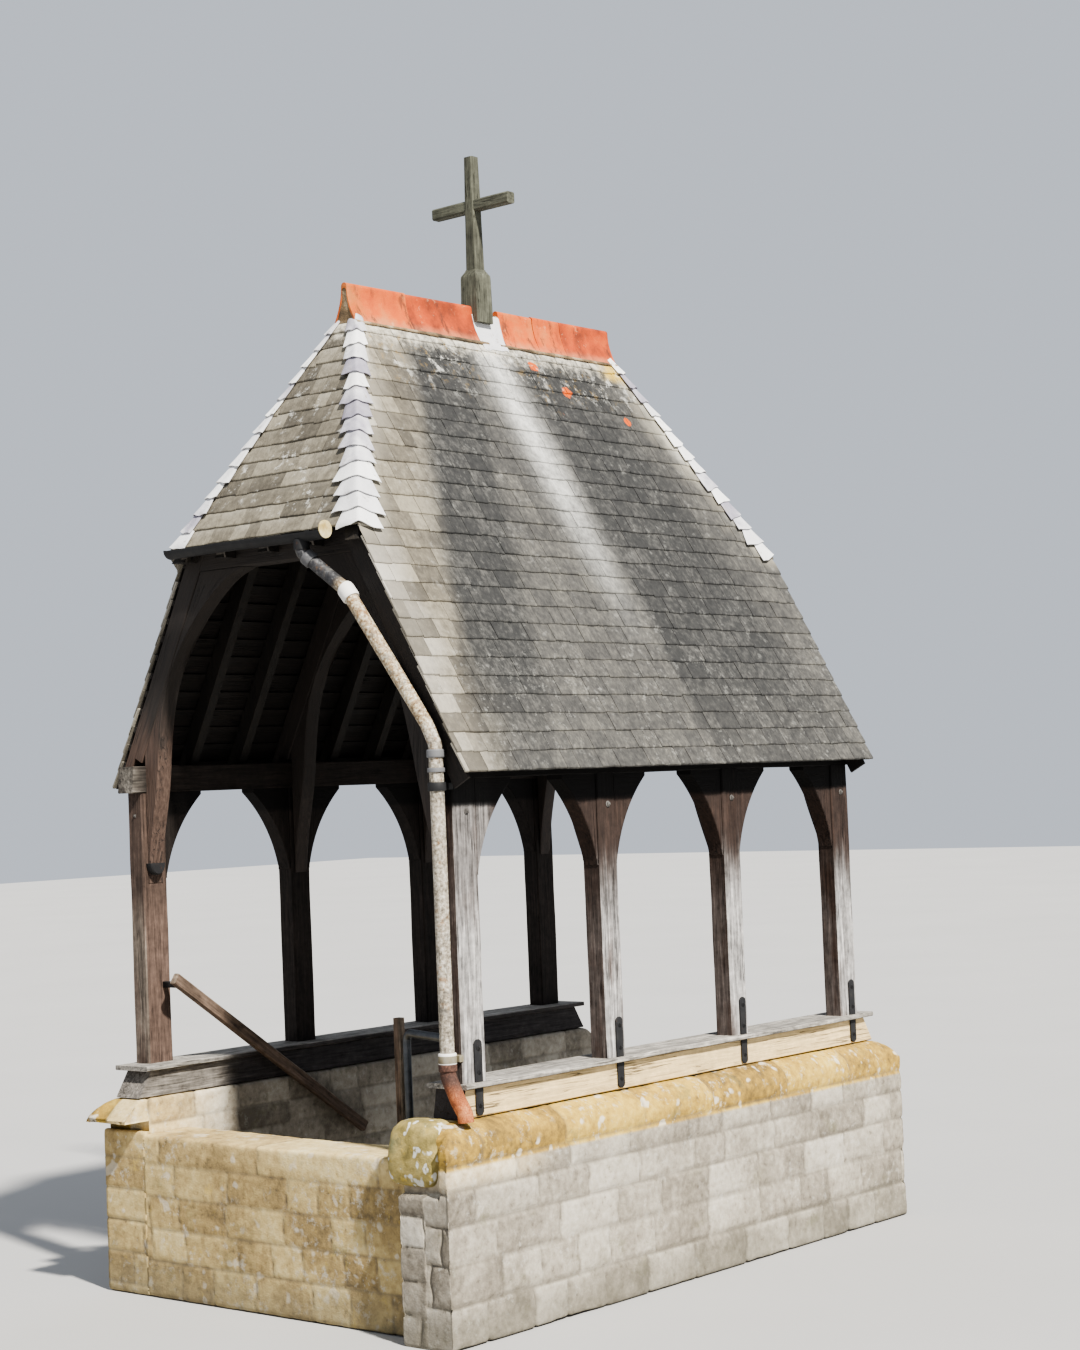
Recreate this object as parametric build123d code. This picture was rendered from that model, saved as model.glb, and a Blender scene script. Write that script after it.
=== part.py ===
"""Lychgate: a timber roof on eight posts over a stepped passage between two low walls.

Millimetres. +Z is up, the road stands at Z = 0, X runs across the passage and
Y runs along it, with the churchyard end at -Y and the road end at +Y.
"""
import math
import os

from build123d import *

# Ground: the churchyard lies this far above the road.
churchyard_rise = 860.0

# Frame of posts.
half_width = 1209.0
post_thickness = 117.0
post_width = 150.0
end_post_width = 172.0
bay_length = 1100.0
bay_count = 3
post_foot_height = 355.0
plate_underside_height = 1822.0
plate_depth = 150.0
plate_width = 125.0
plate_overhang = 1800.0
plate_short_end = 1742.0

# Sill and walls.
sill_thickness = 26.0
sill_overhang = 40.0
sill_inner_lap = 22.0
sill_half_length = 1850.0
sole_beam_depth = 145.0
sole_beam_half_length = 1790.0
sole_beam_slope_run = 90.0
short_sill_end = 1751.0
short_beam_end = 1722.0
short_beam_slope_run = 26.0
wall_inner_face = 1000.0
wall_outer_face = 1320.0
wall_half_length = 2000.0
wall_shoulder_drop = 105.0
wall_end_slope_run = 130.0

# Roof.
eave_reach = 1364.7
roof_height_at_posts = 2155.93
slope_rise_per_run = 1.9167
verge_reach = 1800.0
left_near_verge = 1712.0
hip_fall = 1353.22
hip_rise_per_run = 1.775
skin_thickness = 40.0
far_out = 3000.0
ridge_board_thickness = 30.0
ridge_board_depth = 170.0

# Roof timbers.
rafter_width = 60.0
rafter_depth = 85.0
rafters_per_bay = 2
rafter_foot_gap = 70.0
truss_thickness = 110.0
truss_depth = 120.0
collar_drop = 130.0
collar_depth = 140.0
arch_spring_height = 1330.0
jack_spacing = 330.0

# Inner edge of the arch under a truss. Each pair is a share of the way from the middle to the
# post's inner face, and a share of the way up from the spring to the collar.
right_arch = [
    (0.90659, 0.17771),
    (0.86264, 0.29639),
    (0.78388, 0.52771),
    (0.70055, 0.69880),
    (0.56044, 0.82831),
    (0.42125, 0.90964),
    (0.22894, 1.0),
]
left_arch = [
    (0.97070, 0.13855),
    (0.91575, 0.31325),
    (0.88370, 0.47590),
    (0.85165, 0.57831),
    (0.80128, 0.66867),
    (0.73260, 0.75000),
    (0.63187, 0.82530),
    (0.50366, 0.90361),
    (0.35714, 0.96988),
    (0.22894, 1.0),
]
bargeboard_thickness = 18.0
bargeboard_depth = 112.0
bargeboard_foot_gap = 30.0

# Curved braces between posts and plates, in the plane of each wall.
brace_spring_drop = 470.0
brace_reach = 270.0
brace_thickness = 100.0
brace_toe = 25.0

# Hip coverings and ridge.
lead_width = 95.0
lead_thickness = 9.0
ridge_tile_half_width = 84.0
ridge_tile_cover = 157.2
ridge_tile_rise = 64.8
ridge_tile_wall = 17.0
ridge_tile_neck = 20.0
ridge_tile_overhang = 92.38
saddle_half_length = 118.0
saddle_wall = 14.0
saddle_drop = 30.0
saddle_fill_below_crown = 40.0
pedestal_side = 138.0
pedestal_top_side = 130.0
pedestal_offset = 45.0
pedestal_sink = 11.2
pedestal_rise = 276.8
pedestal_stop_height = 34.0
cross_side = 66.0
cross_foot_side = 84.0
cross_rise = 934.8
cross_arm_rise = 648.8
cross_arm_span = 580.0
cross_arm_depth = 68.0
cross_chamfer = 9.0

# Rainwater goods at the churchyard end.
gutter_radius = 46.0
gutter_wall = 5.0
gutter_drop = 18.0
gutter_left = -660.0
gutter_right = 520.0
pipe_radius = 37.0
pipe_plane = 1793.0
pipe_inset = 46.0
gutter_outlet = 345.0
swan_neck_steps = [97.0, 255.0]
swan_neck_drops = [100.0, 197.0, 312.0]
elbow_inset = 45.0
elbow_rise = 116.0
elbow_foot_rise = 23.0
clip_below_plate = 32.0
clip_above_shoe = 28.0
shoe_steps = [59.0, 101.0, 105.0]
shoe_drops = [52.0, 167.0, 227.0, 268.0]
pipe_bend_radius = 58.0
pipe_clip_wall = 9.0
pipe_clip_depth = 44.0
shoe_radius = 40.0
shoe_wall = 6.0
shoe_top = 452.0

# Ironwork on the posts.
strap_width = 56.0
strap_thickness = 9.0
strap_top = 560.0
strap_bottom = 195.0
strap_offset = 20.0

# Passage.
riser_count = 5
step_going = 247.0
kerb_front = 1880.0
kerb_back = 1530.0
kerb_tail_back = 1830.0
kerb_tail_top = 22.0
kerb_tail_clear = 45.0
joint_gap = 0.3
rail_thickness = 44.0
rail_depth = 66.0
rail_top_y = -1660.0
rail_top_height = 812.0
rail_bottom_y = -250.0
rail_bottom_height = -170.0
rail_bracket_places = [-700.0, -380.0]
rail_offset = 26.0
newel_side = 46.0
newel_top = 620.0
newel_place = 475.0
tube_radius = 22.0
tube_height = 545.0
tube_end_y = -1606.0
corner_stone_size = (360.0, 250.0, 330.0)
corner_stone_inset = 66.0
corner_stone_top = 208.0

# Values worked out from the driving sizes.
ground = churchyard_rise
post_inner = half_width - post_thickness
post_foot = ground + post_foot_height
plate_underside = ground + plate_underside_height
plate_top = plate_underside + plate_depth
sill_underside = post_foot - sill_thickness
sole_underside = sill_underside - sole_beam_depth
slope_angle = math.atan(slope_rise_per_run)
hip_angle = math.atan(hip_rise_per_run)
eave_height = roof_height_at_posts - (eave_reach - half_width) * slope_rise_per_run
roof_apex = ground + eave_height + eave_reach * slope_rise_per_run
ridge_level = roof_apex - ground
hip_eave_height = ridge_level - hip_fall
collar_underside = hip_eave_height - collar_drop
ridge_tile_reach = verge_reach - hip_fall / hip_rise_per_run + ridge_tile_overhang
pipe_place = half_width - pipe_inset
ridge_tile_bottom = ridge_level - ridge_tile_cover
ridge_tile_top = ridge_level + ridge_tile_rise
pedestal_bottom = ridge_level - pedestal_sink
pedestal_top = ridge_level + pedestal_rise
cross_top = ridge_level + cross_rise
cross_arm_height = ridge_level + cross_arm_rise
riser = churchyard_rise / riser_count
post_places = [(i - bay_count / 2) * bay_length for i in range(bay_count + 1)]
gable_face = post_places[-1] + end_post_width / 2
truss_width = truss_thickness


def block(x0, x1, y0, y1, z0, z1):
    """A plain box between two corners."""
    size = Box(x1 - x0, y1 - y0, z1 - z0)
    return Pos((x0 + x1) / 2, (y0 + y1) / 2, (z0 + z1) / 2) * size


def across(points, y0, y1):
    """A prism along Y whose outline is drawn in X and Z."""
    plane = Plane(origin=(0, y1, 0), x_dir=(1, 0, 0), z_dir=(0, -1, 0))
    face = make_face(Polyline(*points, close=True))
    return extrude(plane * face, amount=y1 - y0)


def along(points, x0, x1):
    """A prism along X whose outline is drawn in Y and Z."""
    plane = Plane(origin=(x0, 0, 0), x_dir=(0, 1, 0), z_dir=(1, 0, 0))
    face = make_face(Polyline(*points, close=True))
    return extrude(plane * face, amount=x1 - x0)


def mirrored_x(shape):
    """The same piece on the other side of the passage."""
    return mirror(shape, about=Plane.YZ)


def mirrored_y(shape):
    """The same piece at the road end."""
    return mirror(shape, about=Plane.XZ)


def slope_height(x, depth=0.0):
    """Height of the side slopes at x, that far below the slates' face."""
    return roof_apex - abs(x) * slope_rise_per_run - depth / math.cos(slope_angle)


def hip_height(y, depth=0.0):
    """Height of the hips at y, that far below the slates' face."""
    rise = (verge_reach - abs(y)) * hip_rise_per_run
    return ground + hip_eave_height + rise - depth / math.cos(hip_angle)


def slope_prism(depth, reach):
    """Everything under both side slopes, set in by depth."""
    top = roof_apex - depth / math.cos(slope_angle)
    foot = ground + eave_height - 857.5
    side = (top - foot) / slope_rise_per_run
    return across([(-side, foot), (side, foot), (0.0, top)], -reach, reach)


def hip_prism(depth, reach):
    """Everything under both hips, set in by depth and cut off at the gables."""
    foot = ground + eave_height - 857.5
    top = hip_height(0.0, depth)
    edge = hip_height(reach, depth)
    outline = [(-reach, foot), (reach, foot), (reach, edge), (0.0, top), (-reach, edge)]
    return along(outline, -2000.0, 2000.0)


def roof_body(depth, reach):
    """The half-hipped roof as one solid, set in by depth from the slates' face."""
    return slope_prism(depth, reach) & hip_prism(depth, reach)


def low_wall():
    """Right-hand wall: masonry to the road, with a weathered shoulder on its outer side."""
    shoulder = sole_underside - wall_shoulder_drop
    outline = [
        (wall_inner_face, 0.0),
        (wall_outer_face, 0.0),
        (wall_outer_face, shoulder),
        (wall_outer_face - 22.0, shoulder + 55.0),
        (half_width + 12.0, sole_underside),
        (wall_inner_face, sole_underside),
    ]
    wall = across(outline, -wall_half_length, wall_half_length)
    ends = [
        (-wall_half_length, 0.0),
        (wall_half_length, 0.0),
        (wall_half_length, shoulder),
        (wall_half_length - wall_end_slope_run, sole_underside),
        (-wall_half_length + wall_end_slope_run, sole_underside),
        (-wall_half_length, shoulder),
    ]
    return wall & along(ends, wall_inner_face - 1.0, wall_outer_face + 1.0)


def corner_stone():
    """Big worn stone at the near end of the right wall."""
    length, width, height = corner_stone_size
    x = wall_inner_face + corner_stone_inset
    y = width / 2 - wall_half_length
    stone = Box(length, width, height)
    stone = fillet(stone.edges().filter_by(Axis.Z), radius=78.0)
    stone = fillet(stone.faces().sort_by(Axis.Z)[-1].edges(), radius=72.0)
    return Pos(x, y, ground + corner_stone_top - height / 2) * stone


def sole_beam(near_end, near_run):
    """Right-hand sole beam on the wall, with sloping ends."""
    run = sole_beam_half_length + sole_beam_slope_run
    near = near_end + near_run
    outline = [
        (-near, sole_underside),
        (run, sole_underside),
        (run, sole_underside + 25.0),
        (sole_beam_half_length, sill_underside),
        (-near_end, sill_underside),
        (-near, sole_underside + 25.0),
    ]
    return along(outline, wall_inner_face + 12.0, half_width)


def sill_board(near_end):
    """Right-hand sill board on the sole beam."""
    return block(
        wall_inner_face - sill_inner_lap,
        half_width + sill_overhang,
        -near_end,
        sill_half_length,
        sill_underside,
        post_foot,
    )


def post_length_at(index):
    """Width of a post along the wall: the corner posts are heavier."""
    return end_post_width if index in (0, bay_count) else post_width


def post(index):
    """Right-hand post, counted from the churchyard end."""
    half = post_length_at(index) / 2
    y = post_places[index]
    return block(post_inner, half_width, y - half, y + half, post_foot, plate_underside)


def wall_plate(near_end):
    """Right-hand wall plate on the posts."""
    return block(
        half_width - plate_width,
        half_width,
        -near_end,
        plate_overhang,
        plate_underside,
        plate_top,
    )


def arch_brace(index, side):
    """Curved brace from a right-hand post up to the plate."""
    face = post_places[index] + side * post_length_at(index) / 2
    foot = plate_underside - brace_spring_drop
    tip = face + side * brace_reach
    lines = [
        Line((face, foot), (face, plate_underside)),
        Line((face, plate_underside), (tip, plate_underside)),
        Line((tip, plate_underside), (tip, plate_underside - brace_toe)),
        ThreePointArc(
            (tip, plate_underside - brace_toe),
            (face + side * brace_reach * 0.36, plate_underside - brace_spring_drop * 0.48),
            (face, foot),
        ),
    ]
    middle = half_width - post_thickness / 2
    x0 = middle - brace_thickness / 2
    plane = Plane(origin=(x0, 0, 0), x_dir=(0, 1, 0), z_dir=(1, 0, 0))
    return extrude(plane * make_face(lines), amount=brace_thickness)


def arch_braces(sign):
    """All curved braces on one side, as separate solids."""
    pieces = []
    for index in range(bay_count + 1):
        for side in (-1, 1):
            inside = 0 <= index + side <= bay_count
            if inside:
                piece = arch_brace(index, side)
                pieces.append(piece if sign > 0 else mirrored_x(piece))
    return Compound(children=pieces)


def truss_opening():
    """Outline of the space under a truss, in X and Z: the left brace is the slimmer one."""
    foot = ground + arch_spring_height
    rise = collar_underside - arch_spring_height
    start = [(post_inner, foot)]
    points = start + [(post_inner * a, foot + rise * b) for a, b in right_arch]
    left_points = start + [(post_inner * a, foot + rise * b) for a, b in left_arch]
    right = Spline(*points)
    left = Spline(*[(-x, z) for x, z in reversed(left_points)])
    top = Line(points[-1], (-left_points[-1][0], points[-1][1]))
    low = post_foot
    sides = [
        Line((-post_inner, foot), (-post_inner, low)),
        Line((-post_inner, low), (post_inner, low)),
        Line((post_inner, low), (post_inner, foot)),
    ]
    face = make_face([right, top, left, *sides])
    plane = Plane(origin=(0, 2500.0, 0), x_dir=(1, 0, 0), z_dir=(0, -1, 0))
    return extrude(plane * face, amount=5000.0)


def truss(index):
    """Principal rafters, curved braces and collar over one pair of posts."""
    y = post_places[index]
    y0 = y - truss_width / 2
    y1 = y + truss_width / 2
    top = skin_thickness
    foot = ground + arch_spring_height - 330.0
    whole = slope_prism(top, far_out) & block(-2 * half_width, 2 * half_width, y0, y1, foot, roof_apex)
    under = slope_prism(top + truss_depth, far_out)
    hollow = truss_opening()
    upper = block(-half_width, half_width, y0 - 1, y1 + 1, ground + collar_underside + collar_depth, roof_apex)
    hollow = hollow + (under & upper)
    frame = whole - hollow
    frame = frame & hip_prism(top, verge_reach)
    foot_cut = block(-half_width, half_width, y0 - 1, y1 + 1, ground + arch_spring_height, plate_top)
    spare = foot_cut - block(-post_inner, post_inner, y0 - 2, y1 + 2, 0.0, roof_apex)
    frame = frame - spare
    tails = block(-2 * half_width, 2 * half_width, y0 - 1, y1 + 1, 0.0, ground + eave_height + rafter_foot_gap)
    core = block(-post_inner, post_inner, y0 - 2, y1 + 2, 0.0, roof_apex)
    frame = frame - (tails - core)
    if index in (0, bay_count):
        ceiling = ground + collar_underside + collar_depth
        frame = frame - block(-1500, 1500, y0 - 1, y1 + 1, ceiling, roof_apex + 10.0)
    slot = block(-ridge_board_thickness / 2, ridge_board_thickness / 2, y0 - 1, y1 + 1,
                 ridge_board_bottom(), roof_apex)
    plate = wall_plate(plate_overhang)
    return frame - slot - plate - mirrored_x(plate)


def ridge_board_bottom():
    """Underside of the ridge board."""
    return slope_height(0.0, skin_thickness) - ridge_board_depth


def ridge_board():
    """Board along the ridge between the rafters' heads."""
    half = ridge_board_thickness / 2
    reach = ridge_reach(ridge_board_bottom() + 20.0)
    board = block(-half, half, -reach, reach, ridge_board_bottom(), roof_apex)
    return board & roof_body(skin_thickness, verge_reach)


def ridge_reach(height):
    """How far from the middle the hips' underside lies at a height."""
    drop = skin_thickness / math.cos(hip_angle)
    top = ground + hip_eave_height - drop
    return verge_reach - (height - top) / hip_rise_per_run


def rafter_places():
    """Middles of the common rafters along the roof."""
    step = bay_length / (rafters_per_bay + 1)
    places = []
    for bay in range(bay_count):
        for turn in range(1, rafters_per_bay + 1):
            places.append(post_places[bay] + turn * step)
    return places


def common_rafters(sign):
    """Common rafters of one slope, from the plate to the ridge board or the hip."""
    outer = roof_body(skin_thickness, verge_reach)
    core = slope_prism(skin_thickness + rafter_depth, far_out)
    foot = ground + eave_height + rafter_foot_gap
    pieces = []
    for y in rafter_places():
        y0 = y - rafter_width / 2
        y1 = y + rafter_width / 2
        inner = ridge_board_thickness / 2
        piece = block(inner, 1500, y0, y1, foot, roof_apex) & outer
        piece = piece - core
        notch = block(0, half_width, y0 - 1, y1 + 1, ground + 1000.0, plate_top)
        piece = piece - notch
        piece = piece - hip_frame(-1 if y < 0 else 1)
        pieces.append(piece if sign > 0 else mirrored_x(piece))
    return Compound(children=pieces)


def hip_frame(end):
    """Hip and jack rafters of one end, on the end truss's collar."""
    seat = ground + collar_underside + collar_depth
    y_in = abs(post_places[0]) - truss_width / 2
    reach = verge_reach
    outer = roof_body(skin_thickness, reach)
    core = hip_prism(skin_thickness + rafter_depth, reach)
    band = block(-1000, 1000, -reach, 0.0, seat - 90.0, roof_apex) & outer
    band = band - core
    bars = []
    half = rafter_width / 2
    for x in (-jack_spacing, 0.0, jack_spacing):
        bars.append(block(x - half, x + half, -reach, 0.0, seat - 90.0, roof_apex))
    jacks = band & (bars[0] + bars[1] + bars[2])
    inner_slopes = slope_prism(skin_thickness + rafter_depth, far_out)
    corner = band - inner_slopes
    frame = jacks + corner
    gap = ridge_board_thickness / 2
    head = block(-gap, gap, -ridge_reach(ridge_board_bottom() + 20.0), 0.0,
                 ridge_board_bottom(), roof_apex)
    frame = frame - head
    truss_block = block(-1500, 1500, -y_in - truss_width, -y_in, 0.0, seat)
    frame = frame - truss_block - bargeboard(1, -1) - bargeboard(-1, -1)
    return frame if end < 0 else mirrored_y(frame)


def slope_skin(sign):
    """Battens and slates of one side slope."""
    shell = roof_body(0.0, verge_reach) - slope_prism(skin_thickness, far_out)
    reach = 2 * eave_reach
    above = block(0.0, reach, -2 * verge_reach, 2 * verge_reach, ground + eave_height, roof_apex + 10.0)
    piece = shell & above
    if sign > 0:
        return piece
    recess = block(-reach, reach, -2 * verge_reach, -left_near_verge, 0.0, ground + hip_eave_height - skin_thickness)
    return mirrored_x(piece - recess)


def hip_skin(end):
    """Battens and slates of one hip, between the side slopes."""
    shell = roof_body(0.0, verge_reach) & slope_prism(skin_thickness, far_out)
    shell = shell - hip_prism(skin_thickness, verge_reach)
    low = ground + hip_eave_height - 220.0
    piece = shell & block(-eave_reach, eave_reach, -2 * verge_reach, 0.0, low, roof_apex + 10.0)
    return piece if end < 0 else mirrored_y(piece)


def hip_corner(height):
    """Point on the near right hip line at a height: x and y."""
    x = (roof_apex - height) / slope_rise_per_run
    y = -(verge_reach - (height - ground - hip_eave_height) / hip_rise_per_run)
    return x, y


def hip_lead(sx, sy):
    """Lead covering along one hip line, folded over both slopes."""
    lift = lead_thickness
    body = roof_body(-lift, verge_reach) - roof_body(0.0, verge_reach + 50.0)
    low = ground + hip_eave_height
    high = ground + ridge_tile_bottom
    x0, y0 = hip_corner(low)
    x1, y1 = hip_corner(high)
    start = Vector(x0, y0, low)
    line = Vector(x1, y1, high) - start
    around = Plane(origin=start - line.normalized() * 60.0, z_dir=line.normalized())
    tube = extrude(around * Circle(lead_width), amount=line.length + 55.0)
    piece = body & tube
    piece = piece & block(0.0, 2000.0, -verge_reach, 0.0, low - 30.0, high + 60.0)
    if sx < 0:
        piece = mirrored_x(piece)
    if sy > 0:
        piece = mirrored_y(piece)
    return piece


def hip_leads():
    """The four hip coverings as separate solids."""
    return Compound(children=[hip_lead(sx, sy) for sx in (-1, 1) for sy in (-1, 1)])


def bargeboard(sx, sy):
    """Board on the end truss under one verge."""
    y0 = -gable_face - bargeboard_thickness
    outer = slope_prism(skin_thickness, far_out)
    inner = slope_prism(skin_thickness + bargeboard_depth, far_out)
    low = ground + eave_height + bargeboard_foot_gap
    high = hip_height(gable_face, skin_thickness)
    piece = block(0.0, 1500.0, y0, -gable_face, low, high) & (outer - inner)
    piece = piece & hip_prism(skin_thickness, verge_reach)
    piece = piece - wall_plate(plate_overhang)
    if sx < 0:
        piece = mirrored_x(piece)
    if sy > 0:
        piece = mirrored_y(piece)
    return piece


def bargeboards():
    """The three bargeboards as separate solids: the near left verge has none."""
    return Compound(children=[bargeboard(1, -1), bargeboard(1, 1), bargeboard(-1, 1)])


def flared_outline(half, bottom, top, neck):
    """Outline of a tall ridge tile: concave sides under a narrow round top."""
    waist = bottom + (top - bottom) * 0.42
    return [
        ThreePointArc((half, bottom), (half * 0.50, waist), (neck, top - neck)),
        ThreePointArc((neck, top - neck), (0.0, top), (-neck, top - neck)),
        ThreePointArc((-neck, top - neck), (-half * 0.50, waist), (-half, bottom)),
        Line((-half, bottom), (half, bottom)),
    ]


def ridge_prism(inset, y0, y1):
    """Ridge tile section drawn along the ridge, set in by inset."""
    half = ridge_tile_half_width - inset
    top = ground + ridge_tile_top - inset
    neck = max(ridge_tile_neck - inset * 0.7, 4.0)
    face = make_face(flared_outline(half, ground + ridge_tile_bottom, top, neck))
    plane = Plane(origin=(0, y1, 0), x_dir=(1, 0, 0), z_dir=(0, -1, 0))
    return extrude(plane * face, amount=y1 - y0)


def ridge_tiles(end):
    """Run of ridge tiles from the saddle to one end of the ridge."""
    y0 = -ridge_tile_reach
    y1 = -saddle_half_length
    shell = ridge_prism(0.0, y0, y1) - ridge_prism(ridge_tile_wall, y0 - 10.0, y1 + 10.0)
    shell = shell - slope_prism(0.0, far_out)
    piece = shell.solids().sort_by(SortBy.VOLUME)[-1]
    return piece if end < 0 else mirrored_y(piece)


def lead_saddle():
    """Weathering over the ridge under the cross, dressed down both slopes."""
    low = ground + ridge_tile_bottom - saddle_drop
    high = ground + ridge_tile_top - saddle_fill_below_crown
    body = slope_prism(-saddle_wall, far_out)
    wide = 2 * ridge_tile_half_width + 2 * saddle_drop
    body = body & block(-wide, wide, -saddle_half_length, saddle_half_length, low, roof_apex)
    body = body + ridge_prism(3.0, -saddle_half_length, saddle_half_length)
    body = body - block(-wide, wide, -2 * wide, 2 * wide, high, high + 400.0)
    side = pedestal_side / 2
    stand = block(-side, side, -pedestal_offset - side, -pedestal_offset + side, ground + pedestal_bottom, high + 300.0)
    return body - slope_prism(0.0, far_out) - stand


def cross_pedestal():
    """Tapered square block that carries the cross, cut over the ridge."""
    bottom = ground + pedestal_bottom
    top = ground + pedestal_top - pedestal_stop_height
    lower = Plane.XY.offset(bottom) * Rectangle(pedestal_side, pedestal_side)
    middle = Plane.XY.offset(top) * Rectangle(pedestal_top_side, pedestal_top_side)
    upper = Plane.XY.offset(ground + pedestal_top) * Rectangle(cross_foot_side + 8, cross_foot_side + 8)
    body = loft([lower, middle], ruled=True) + loft([middle, upper], ruled=True)
    return Pos(0, -pedestal_offset, 0) * body - slope_prism(0.0, far_out) - near_tile_room()


def near_tile_room():
    """Room of the near ridge tiles, which the pedestal is cut round."""
    return ridge_prism(0.0, -ridge_tile_reach, -saddle_half_length)


def cross():
    """Timber cross with chamfered shaft and arms."""
    half = cross_side / 2
    foot = Plane.XY.offset(ground + pedestal_top) * Rectangle(cross_foot_side, cross_foot_side)
    head = Plane.XY.offset(ground + cross_top) * Rectangle(cross_side, cross_side)
    shaft = loft([foot, head], ruled=True)
    span = cross_arm_span / 2
    z = ground + cross_arm_height
    arm = block(-span, span, -half, half, z - cross_arm_depth / 2, z + cross_arm_depth / 2)
    sides = [edge for edge in shaft.edges() if edge.length > 2 * cross_foot_side]
    shaft = chamfer(sides, length=cross_chamfer)
    arm = chamfer(arm.edges().filter_by(Axis.X), length=cross_chamfer)
    return Pos(0, -pedestal_offset, 0) * (shaft + arm)


def gutter_axis():
    """Middle of the gutter's round section: y and z."""
    return -verge_reach - gutter_radius, ground + hip_eave_height - gutter_drop


def gutter_cylinder(radius, inset):
    """Round bar along the gutter, shortened by inset at both ends."""
    y, z = gutter_axis()
    plane = Plane(origin=(gutter_left + inset, y, z), x_dir=(0, 1, 0), z_dir=(1, 0, 0))
    return extrude(plane * Circle(radius), amount=gutter_right - gutter_left - 2 * inset)


def gutter():
    """Half-round gutter with closed ends under the near hip's eave."""
    y, z = gutter_axis()
    trough = gutter_cylinder(gutter_radius, 0.0)
    trough = trough - gutter_cylinder(gutter_radius - gutter_wall, gutter_wall)
    open_top = block(gutter_left - 10, gutter_right - gutter_wall, y - 100, y + 100, z, z + 100)
    return trough - open_top


def pipe_route():
    """Middle line of the downpipe, from the gutter's outlet to its foot."""
    y = -pipe_plane
    gutter_y, gutter_z = gutter_axis()
    return [
        (gutter_outlet, gutter_y, gutter_z - gutter_radius * 0.7),
        (gutter_outlet, gutter_y, gutter_z - swan_neck_drops[0]),
        (gutter_outlet + swan_neck_steps[0], y - 10.0, gutter_z - swan_neck_drops[1]),
        (gutter_outlet + swan_neck_steps[1], y, gutter_z - swan_neck_drops[2]),
        (pipe_place - elbow_inset, y, plate_top + elbow_rise),
        (pipe_place, y, plate_top + elbow_foot_rise),
        (pipe_place, y, ground + shoe_top),
    ]


def round_route(points, radius):
    """Line through points with rounded corners."""
    return FilletPolyline(*points, radius=radius)


def downpipe():
    """Cast downpipe with a swan neck, a long slanting run and an upright run."""
    route = round_route(pipe_route(), pipe_bend_radius)
    start = Plane(origin=route @ 0, z_dir=route % 0)
    pipe = sweep(start * Circle(pipe_radius), path=route)
    return pipe - gutter_cylinder(gutter_radius, 0.0)


def pipe_shoe():
    """Outlet shoe at the foot of the downpipe, bent outward, with an open mouth."""
    y = -pipe_plane
    points = [
        (pipe_place, y, ground + shoe_top),
        (pipe_place, y, ground + shoe_top - shoe_drops[0]),
        (pipe_place + shoe_steps[0], y, ground + shoe_top - shoe_drops[1]),
        (pipe_place + shoe_steps[1], y, ground + shoe_top - shoe_drops[2]),
        (pipe_place + shoe_steps[2], y, ground + shoe_top - shoe_drops[3]),
    ]
    route = round_route(points, pipe_bend_radius)
    start = Plane(origin=route @ 0, z_dir=route % 0)
    ring = Circle(shoe_radius) - Circle(shoe_radius - shoe_wall)
    return sweep(start * ring, path=route)


def pipe_clip(height):
    """Collar on the upright run with its ears back to the post."""
    z = ground + height
    y = -pipe_plane
    x = pipe_place
    ring = Cylinder(pipe_radius + pipe_clip_wall, pipe_clip_depth) - Cylinder(pipe_radius, 100.0)
    back = block(-62.0, 62.0, 14.0, pipe_plane - gable_face, -18.0, 18.0)
    back = back - Cylinder(pipe_radius, 100.0)
    back = back & block(-62.0, half_width - x, 0.0, 200.0, -50.0, 50.0)
    return Pos(x, y, z) * (ring + back)


def pipe_clips():
    """The two clips that hold the pipe on the corner post."""
    upper = plate_underside_height - clip_below_plate
    return Compound(children=[pipe_clip(upper), pipe_clip(shoe_top + clip_above_shoe)])


def strap(index, sign):
    """Iron strap from a post down over the sole beam."""
    y = post_places[index] + strap_offset
    straight = strap_top - strap_bottom
    plate = Box(strap_thickness, strap_width, straight)
    plate = fillet(plate.edges().filter_by(Axis.X), radius=18.0)
    x = half_width + strap_thickness / 2
    piece = Pos(x, y, ground + (strap_top + strap_bottom) / 2) * plate
    return piece if sign > 0 else mirrored_x(piece)


def straps(sign):
    """The four straps of one side."""
    return Compound(children=[strap(index, sign) for index in range(bay_count + 1)])


def notched_sill(board):
    """Sill board with its outer lip cut away behind each strap."""
    for y in post_places:
        half = strap_width / 2 + 1.0
        board = board - block(half_width, half_width + 200.0, y + strap_offset - half,
                              y + strap_offset + half, 0.0, 5000.0)
    return board


def kerb_stone():
    """Threshold stone at the churchyard end, bedded on masonry down to the road."""
    reach = wall_inner_face
    body = block(-reach, reach, -kerb_front, -kerb_back, 0.0, ground)
    top = body.faces().sort_by(Axis.Z)[-1]
    return chamfer(top.edges().filter_by(Axis.X), length=14.0) + kerb_tail(0.0)


def kerb_tail(clear):
    """End of the kerb that runs under the overhanging left wall, or the room for it."""
    top = ground + kerb_tail_top + clear
    back = -kerb_tail_back
    front = -kerb_front - (200.0 if clear > 0 else 0.0)
    return block(-wall_outer_face, -wall_inner_face, front, back, 0.0, top)


def step(index):
    """One stone step of the flight, counted up from the road, solid to its foot."""
    top = riser * index
    back = -kerb_back
    front = back + (riser_count - index) * step_going
    return block(-wall_inner_face, wall_inner_face, back + (riser_count - index - 1) * step_going,
                 front, 0.0, top)


def rail_angle():
    """Slope of the handrail."""
    return math.atan2(rail_top_height - rail_bottom_height, rail_bottom_y - rail_top_y)


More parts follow.
